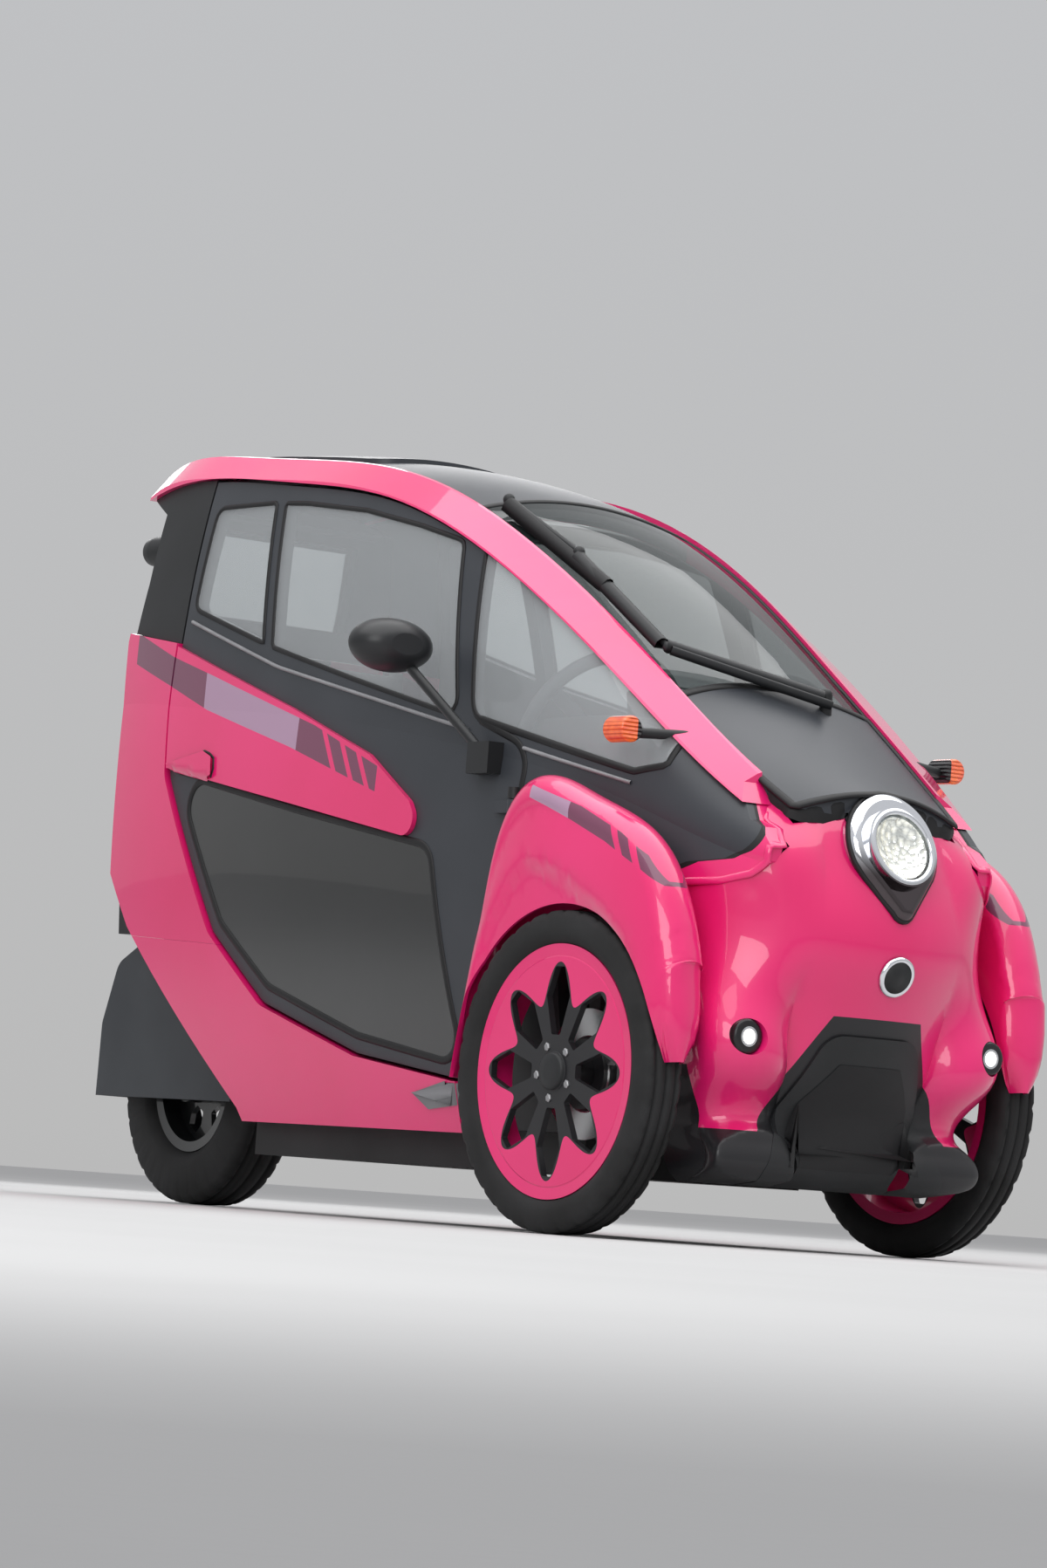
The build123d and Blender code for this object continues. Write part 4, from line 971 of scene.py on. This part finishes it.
def spaced(points, step, closed):
    """The same line with points at even steps."""
    line = list(points) + ([points[0]] if closed else [])
    lengths = [0.0]
    for first, second in zip(line, line[1:]):
        lengths.append(lengths[-1] + (second - first).length)
    count = max(2, round(lengths[-1] / step))
    result, place = [], 0
    for number in range(count if closed else count + 1):
        wanted = lengths[-1] * number / count
        while place < len(line) - 2 and lengths[place + 1] < wanted:
            place += 1
        span = max(lengths[place + 1] - lengths[place], 1e-9)
        result.append(line[place].lerp(line[place + 1], (wanted - lengths[place]) / span))
    return result


def place_beside(side, ahead, height):
    """A point of a side view, taken to a place beside the car."""
    return Vector((FRONT_AXLE_X + ahead, side * BESIDE_Y, height))


def on_side(surface, outline, side, closed=False):
    """A side-view line laid on the outside of the car: points and normals."""
    flat = [place_beside(side, ahead, height) for ahead, height in outline]
    path, normals = [], []
    for point in spaced(flat, LINE_STEP, closed):
        hit, normal = surface.ray_cast(point, Vector((0, -side, 0)))[:2]
        if hit is None:
            continue
        path.append(hit)
        normals.append(normal if normal.y * side > 0 else -normal)
    return path, normals, closed


def skin_of(build, aim, least, side):
    """The faces that look along aim, and those reached from them over gentle bends, up to least."""
    chosen = {
        face for face in build.faces
        if face.normal.dot(aim) > STRAIGHT_ON and (side == 0 or face.calc_center_median().y * side > 0)
    }
    growing = list(chosen)
    while growing:
        face = growing.pop()
        for edge in face.edges:
            for other in edge.link_faces:
                gentle = other.normal.dot(face.normal) > GENTLE_BEND
                if gentle and other.normal.dot(aim) > least and other not in chosen:
                    chosen.add(other)
                    growing.append(other)
    return chosen


def edge_loops(build, chosen):
    """The closed lines of points round the chosen faces."""
    follow = {}
    for edge in build.edges:
        near = [face for face in edge.link_faces if face in chosen]
        if len(near) == 1:
            for loop in near[0].loops:
                if loop.edge == edge:
                    follow.setdefault(loop.vert, []).append(loop.link_loop_next.vert)
    loops = []
    while follow:
        start = next(iter(follow))
        line, place = [], start
        while place in follow:
            line.append(place)
            ahead = follow[place].pop()
            if not follow[place]:
                del follow[place]
            place = ahead
            if place == start:
                break
        loops.append(line)
    return loops


def outer_rims(name, facing, least=0.3, side=0, shortest=0.15):
    """The edges of a CAD piece's skin that looks along facing: closed paths with normals."""
    build = welded(mesh_of(name))
    chosen = skin_of(build, facing.normalized(), least, side)
    slopes = {}
    for face in chosen:
        for vertex in face.verts:
            slope = slopes.setdefault(vertex, Vector())
            slope += face.normal * face.calc_area()
    runs = []
    for loop in edge_loops(build, chosen):
        line = [vertex.co.copy() for vertex in loop]
        length = sum((second - first).length for first, second in zip(line, line[1:]))
        if length > shortest:
            path = spaced(line, EDGE_STEP, True)
            known = [(vertex.co.copy(), slopes[vertex].normalized()) for vertex in loop]
            normals = [
                min(known, key=lambda pair: (pair[0] - point).length_squared)[1] for point in path
            ]
            runs.append((path, normals, True))
    build.free()
    return runs


def add_seal(name, node, facing, strip, body="body", look="rubber", **skin):
    """A strip along the edges of a pane or panel that looks along facing."""
    return add_beads(name, outer_rims(node, facing, **skin), strip, look, body)


def add_patch(name, outline, surface, origin, towards, lift, look, body="body"):
    """A thin plate with a flat outline, laid on a surface seen along towards.

    origin takes an outline's point to a place in front of the surface."""
    cell, margin = 0.012, 0.001
    build = bmesh.new()
    build.faces.new([build.verts.new((first, second, 0)) for first, second in outline])
    for axis, normal in enumerate((FORWARD, LEFT)):
        values = [point[axis] for point in outline]
        cut = min(values) + cell
        while cut < max(values) - margin:
            parts = build.verts[:] + build.edges[:] + build.faces[:]
            bmesh.ops.bisect_plane(build, geom=parts, plane_co=normal * cut, plane_no=normal)
            cut += cell
    points = []
    for vertex in build.verts:
        start = origin(vertex.co.x, vertex.co.y)
        hit, normal = surface.ray_cast(start, towards)[:2]
        if hit is None:
            hit, normal = points[-1] if points else start, -towards
        points.append(hit + normal * math.copysign(lift, -normal.dot(towards)))
    return piece_from(build, points, name, look, body)


def add_lip(name, node, facing, lower, look):
    """Closes the slot between a panel's edge and the surface below it with a curved strip."""
    widest, under_edge, under_surface, crown = 0.045, 0.004, 0.002, 0.003
    surface = surface_of([lower])
    points, faces = [], []
    for path, normals, closed in outer_rims(node, facing):
        previous = None
        for point, normal in zip(path + path[:1], normals + normals[:1]):
            near, slope, index, reach = surface.find_nearest(point)
            if reach > widest:
                previous = None
                continue
            start = point - normal * under_edge
            end = near - slope * under_surface
            row = len(points)
            for step in range(4):
                rise = crown * step * (3 - step) / 2
                points.append(start.lerp(end, step / 3) + normal * rise)
            if previous is not None:
                for step in range(3):
                    first, second = previous + step, row + step
                    faces.append((first, first + 1, second + 1, second))
            previous = row
    return add_piece(name, points, faces, look)


# Seals, belt lines, handles and step trim; the belt lines' light colour is a painted highlight
for side, label in SIDES:
    outward = Vector((0, side, 0))
    body_of_door = label + "_door"
    door = "door_" + label + "_"
    add_seal(door + "window_seals", door + "glass", outward, WINDOW_STRIP, body_of_door)
    add_seal(door + "panel_seal", door + "lower_panel", outward, PANEL_STRIP, body_of_door)
    add_seal("quarter_window_seal_" + label, "quarter_glass", outward, QUARTER_STRIP, side=side)
    add_seal(
        "cheek_seal_" + label, "cheek_panels", outward, CHEEK_STRIP, look="cheek_seal",
        least=-0.2, side=side,
    )
    door_surface = surface_of([door + "frame", door + "accent", door + "lower_panel"])
    body_surface = surface_of(["cheek_panels", "sills", "wheelhouse_panels", "quarter_glass"])
    belt_on_door = on_side(door_surface, BELT_ON_DOOR, side)
    belt_ahead = on_side(body_surface, BELT_AHEAD, side)
    handle_seam = on_side(door_surface, HANDLE, side, closed=True)
    # The belt lines' pale colour is a painted highlight on the panel edge under the side windows
    add_beads(door + "belt_line", [belt_on_door], DOOR_BELT_STRIP, "trim", body_of_door)
    add_beads("belt_line_" + label, [belt_ahead], BELT_STRIP, "trim")
    add_beads(door + "handle_seam", [handle_seam], HANDLE_STRIP, "rubber", body_of_door)
    beside = partial(place_beside, side)
    add_patch(
        door + "handle", HANDLE, door_surface, beside, -outward, HANDLE_LIFT, "pink", body_of_door
    )
    add_patch(
        "step_trim_" + label, STEP_TRIM, body_surface, beside, -outward, STEP_TRIM_LIFT,
        "sill_trim",
    )

bonnet_facing = Vector((0.4, 0, 0.9))
add_seal("windscreen_seal", "windscreen", Vector((0.5, 0, 0.86)), WINDSCREEN_STRIP)
add_seal("bonnet_seal", "bonnet", bonnet_facing, BONNET_STRIP)
add_lip("nose_lip", "bonnet", bonnet_facing, "nose_panel", "rubber")
add_seal("rear_window_seal", "rear_window", BACKWARD, REAR_STRIP)

# Rounded knob behind the right rear pillar
tail_surface = surface_of(["tail_frame", "tail_panel"])
knob_place = tail_surface.ray_cast(Vector((BEHIND_X, -0.250, 1.270)), FORWARD)[0]
add_turned("tail_knob", TAIL_KNOB, knob_place, BACKWARD, LEFT, 40, "black")


# Chin recess, a darker plate whose colour is painted shade, and the plain disc above it
def in_front(across, height):
    return Vector((BEFORE_X, across, height))


nose_surface = surface_of(["nose_panel", "chin"])
add_patch("chin_recess", CHIN_RECESS, nose_surface, in_front, BACKWARD, RECESS_LIFT, "rubber")
spot, slope = nose_surface.ray_cast(in_front(0, NOSE_DISC_Z), BACKWARD)[:2]
add_turned("nose_disc", NOSE_RING, spot, slope, LEFT, 48, "chrome")
add_turned("nose_disc_face", NOSE_FACE, spot, slope, LEFT, 40, "black")

# Front lamp: lit reflector behind the lens and a bright ring round it
tilt = math.radians(LAMP_TILT)
lamp_axis = Vector((math.cos(tilt), 0, math.sin(tilt)))
lamp_up = Vector((-math.sin(tilt), 0, math.cos(tilt)))
ring_centre = LAMP_CENTRE + lamp_up * LAMP_RING_UP
add_turned("headlamp_reflector", LAMP_BOWL, ring_centre, lamp_axis, LEFT, 72, "core")
add_turned("headlamp_bezel", LAMP_BEZEL, ring_centre, lamp_axis, LEFT, 96, "chrome")
add_seal("headlamp_seal", "headlamp_housing", lamp_axis, LAMP_STRIP, least=0.15, shortest=0.5)


# Wiper: covers over its first two rods, the blade over the last one and a second arm
def add_bar(name, start, end, strip, look):
    """A straight bar over the windscreen, with rounded upper edges."""
    path = [start.lerp(end, share / 6) for share in range(7)]
    return add_beads(name, [(path, [wiper_up] * 7, False)], strip, look)


wiper_up = Vector((0.55, 0, 0.84))
knee = Vector((FRONT_AXLE_X - 0.075, -0.195, 1.030))
elbow = Vector((FRONT_AXLE_X - 0.330, -0.200, 1.196))
blade_end = Vector((FRONT_AXLE_X - 0.540, -0.208, 1.300))
hub = Vector((FRONT_AXLE_X + 0.028, 0.088, 0.966))
arm_end = Vector((FRONT_AXLE_X - 0.062, -0.196, 1.028))
second_arm = Vector((0.026, 0.0, -0.016))
second_end = arm_end + second_arm * 0.6
add_bar("wiper_rod", knee, elbow, WIPER_ROD_STRIP, "black")
add_bar("wiper_blade", elbow.lerp(knee, 0.35), blade_end, WIPER_BLADE_STRIP, "rubber")
add_bar("wiper_arm_cover", hub, arm_end, WIPER_COVER_STRIP, "black")
add_bar("wiper_second_arm", hub + second_arm, second_end, WIPER_SECOND_STRIP, "black")


# Tyres with grooves, caps and bolts
def tyre_profile(half, radius, seat):
    """The tyre's section from one bead to the other, with three grooves."""
    shoulder = 0.74
    side = [
        (half * 0.70, seat), (half * 0.88, seat + 0.006), (half * 0.985, seat + 0.018),
        (half * 0.995, seat + 0.026), (half * 0.96, radius - 0.014), (half * 0.86, radius - 0.005),
        (half * shoulder, radius - 0.0012),
    ]
    tread = []
    for middle in (0.52, 0.0, -0.52):
        for along, drop in ((0.085, 0.0), (0.06, 0.005), (-0.06, 0.005), (-0.085, 0.0)):
            crown = 0.0016 * ((middle + along) / shoulder) ** 2
            tread.append((half * (middle + along), radius - crown - drop))
    return side + tread + [(-along, out) for along, out in reversed(side)]


def add_tyre(name, node, centre, size, body):
    """A tyre whose shoulders have a shallow cut at every fifth step round it."""
    half, radius, seat = size
    segments, cut_every, cut_depth = 180, 5, 0.004
    profile = tyre_profile(half, radius, seat)
    points, faces = revolve_points(profile, centre, LEFT, FORWARD, segments)
    columns = len(profile)
    for segment in range(0, segments, cut_every):
        for column, (along, out) in enumerate(profile):
            if 0.70 * half < abs(along) < 0.97 * half and out > radius - 0.016:
                spoke = points[segment * columns + column] - centre
                spoke.y = 0
                points[segment * columns + column] -= spoke.normalized() * cut_depth
    piece = add_piece(name, points, faces, "tyre", body)
    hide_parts(node)


def add_bolts(name, centre, axis, body):
    """Bolt heads in a ring, as one piece."""
    start = axis.orthogonal().normalized()
    other = axis.cross(start)
    points, faces = [], []
    for number in range(BOLT_COUNT):
        angle = 2 * math.pi * (number + 0.5) / BOLT_COUNT
        place = centre + (start * math.cos(angle) + other * math.sin(angle)) * BOLT_RING
        more, more_faces = revolve_points(BOLT_HEAD, place, axis, start, 6)
        faces += shifted(more_faces, len(points))
        points += more
    return add_piece(name, points, faces, "metal", body, smooth=False)


for side, label in SIDES:
    centre = Vector((FRONT_AXLE_X, side * TRACK / 2, FRONT_TYRE_RADIUS))
    axis = Vector((0, side, 0))
    wheel = "front_wheel_" + label
    add_tyre("tyre_front_" + label, "wheel_front_" + label + "_tyre", centre, FRONT_TYRE, wheel)
    add_turned("hub_cap_" + label, HUB_CAP, centre, axis, FORWARD, 48, "black", wheel)
    add_bolts("wheel_bolts_" + label, centre, axis, wheel)
rear_centre = Vector((REAR_AXLE_X, 0, REAR_TYRE_RADIUS))
add_tyre("tyre_rear", "wheel_rear_tyre", rear_centre, REAR_TYRE, "rear_wheel")


# Seat pads in cloth
def add_seat(name, outline, half):
    """A soft pad with a rounded rim, from its side view."""
    columns = [-half, -half + SEAT_RIM, -half * 0.45, 0.0, half * 0.45, half - SEAT_RIM, half]
    points = [
        Vector((FRONT_AXLE_X + ahead, across, height))
        for across in columns for ahead, height in outline
    ]
    size = len(outline)
    faces = ring_faces(len(columns), size)
    faces.append(tuple(range(size)))
    faces.append(tuple(reversed(range((len(columns) - 1) * size, len(columns) * size))))
    piece = add_piece(name + "_pad", points, faces, "fabric")
    smooth = piece.modifiers.new("smooth", "SUBSURF")
    smooth.levels = 2
    smooth.render_levels = 2
    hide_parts(name)


for seat_name, seat_outline, seat_half in SEATS:
    add_seat(seat_name, seat_outline, seat_half)


def add_floor():
    """A wide plain floor that fades into the room."""
    data = bpy.data.meshes.new("floor")
    build = bmesh.new()
    bmesh.ops.create_circle(build, cap_ends=True, radius=FLOOR_RADIUS, segments=96)
    build.to_mesh(data)
    build.free()
    floor = add_object("floor", data)
    light, dark = (0.51, 0.51, 0.51), (0.49, 0.49, 0.49)
    data.materials.append(
        patched("pale floor", 0.9, 0.8, light, dark, (90.0, 0.0004), specular=0.0)
    )


add_floor()
bpy.context.scene.view_settings.view_transform = "Standard"
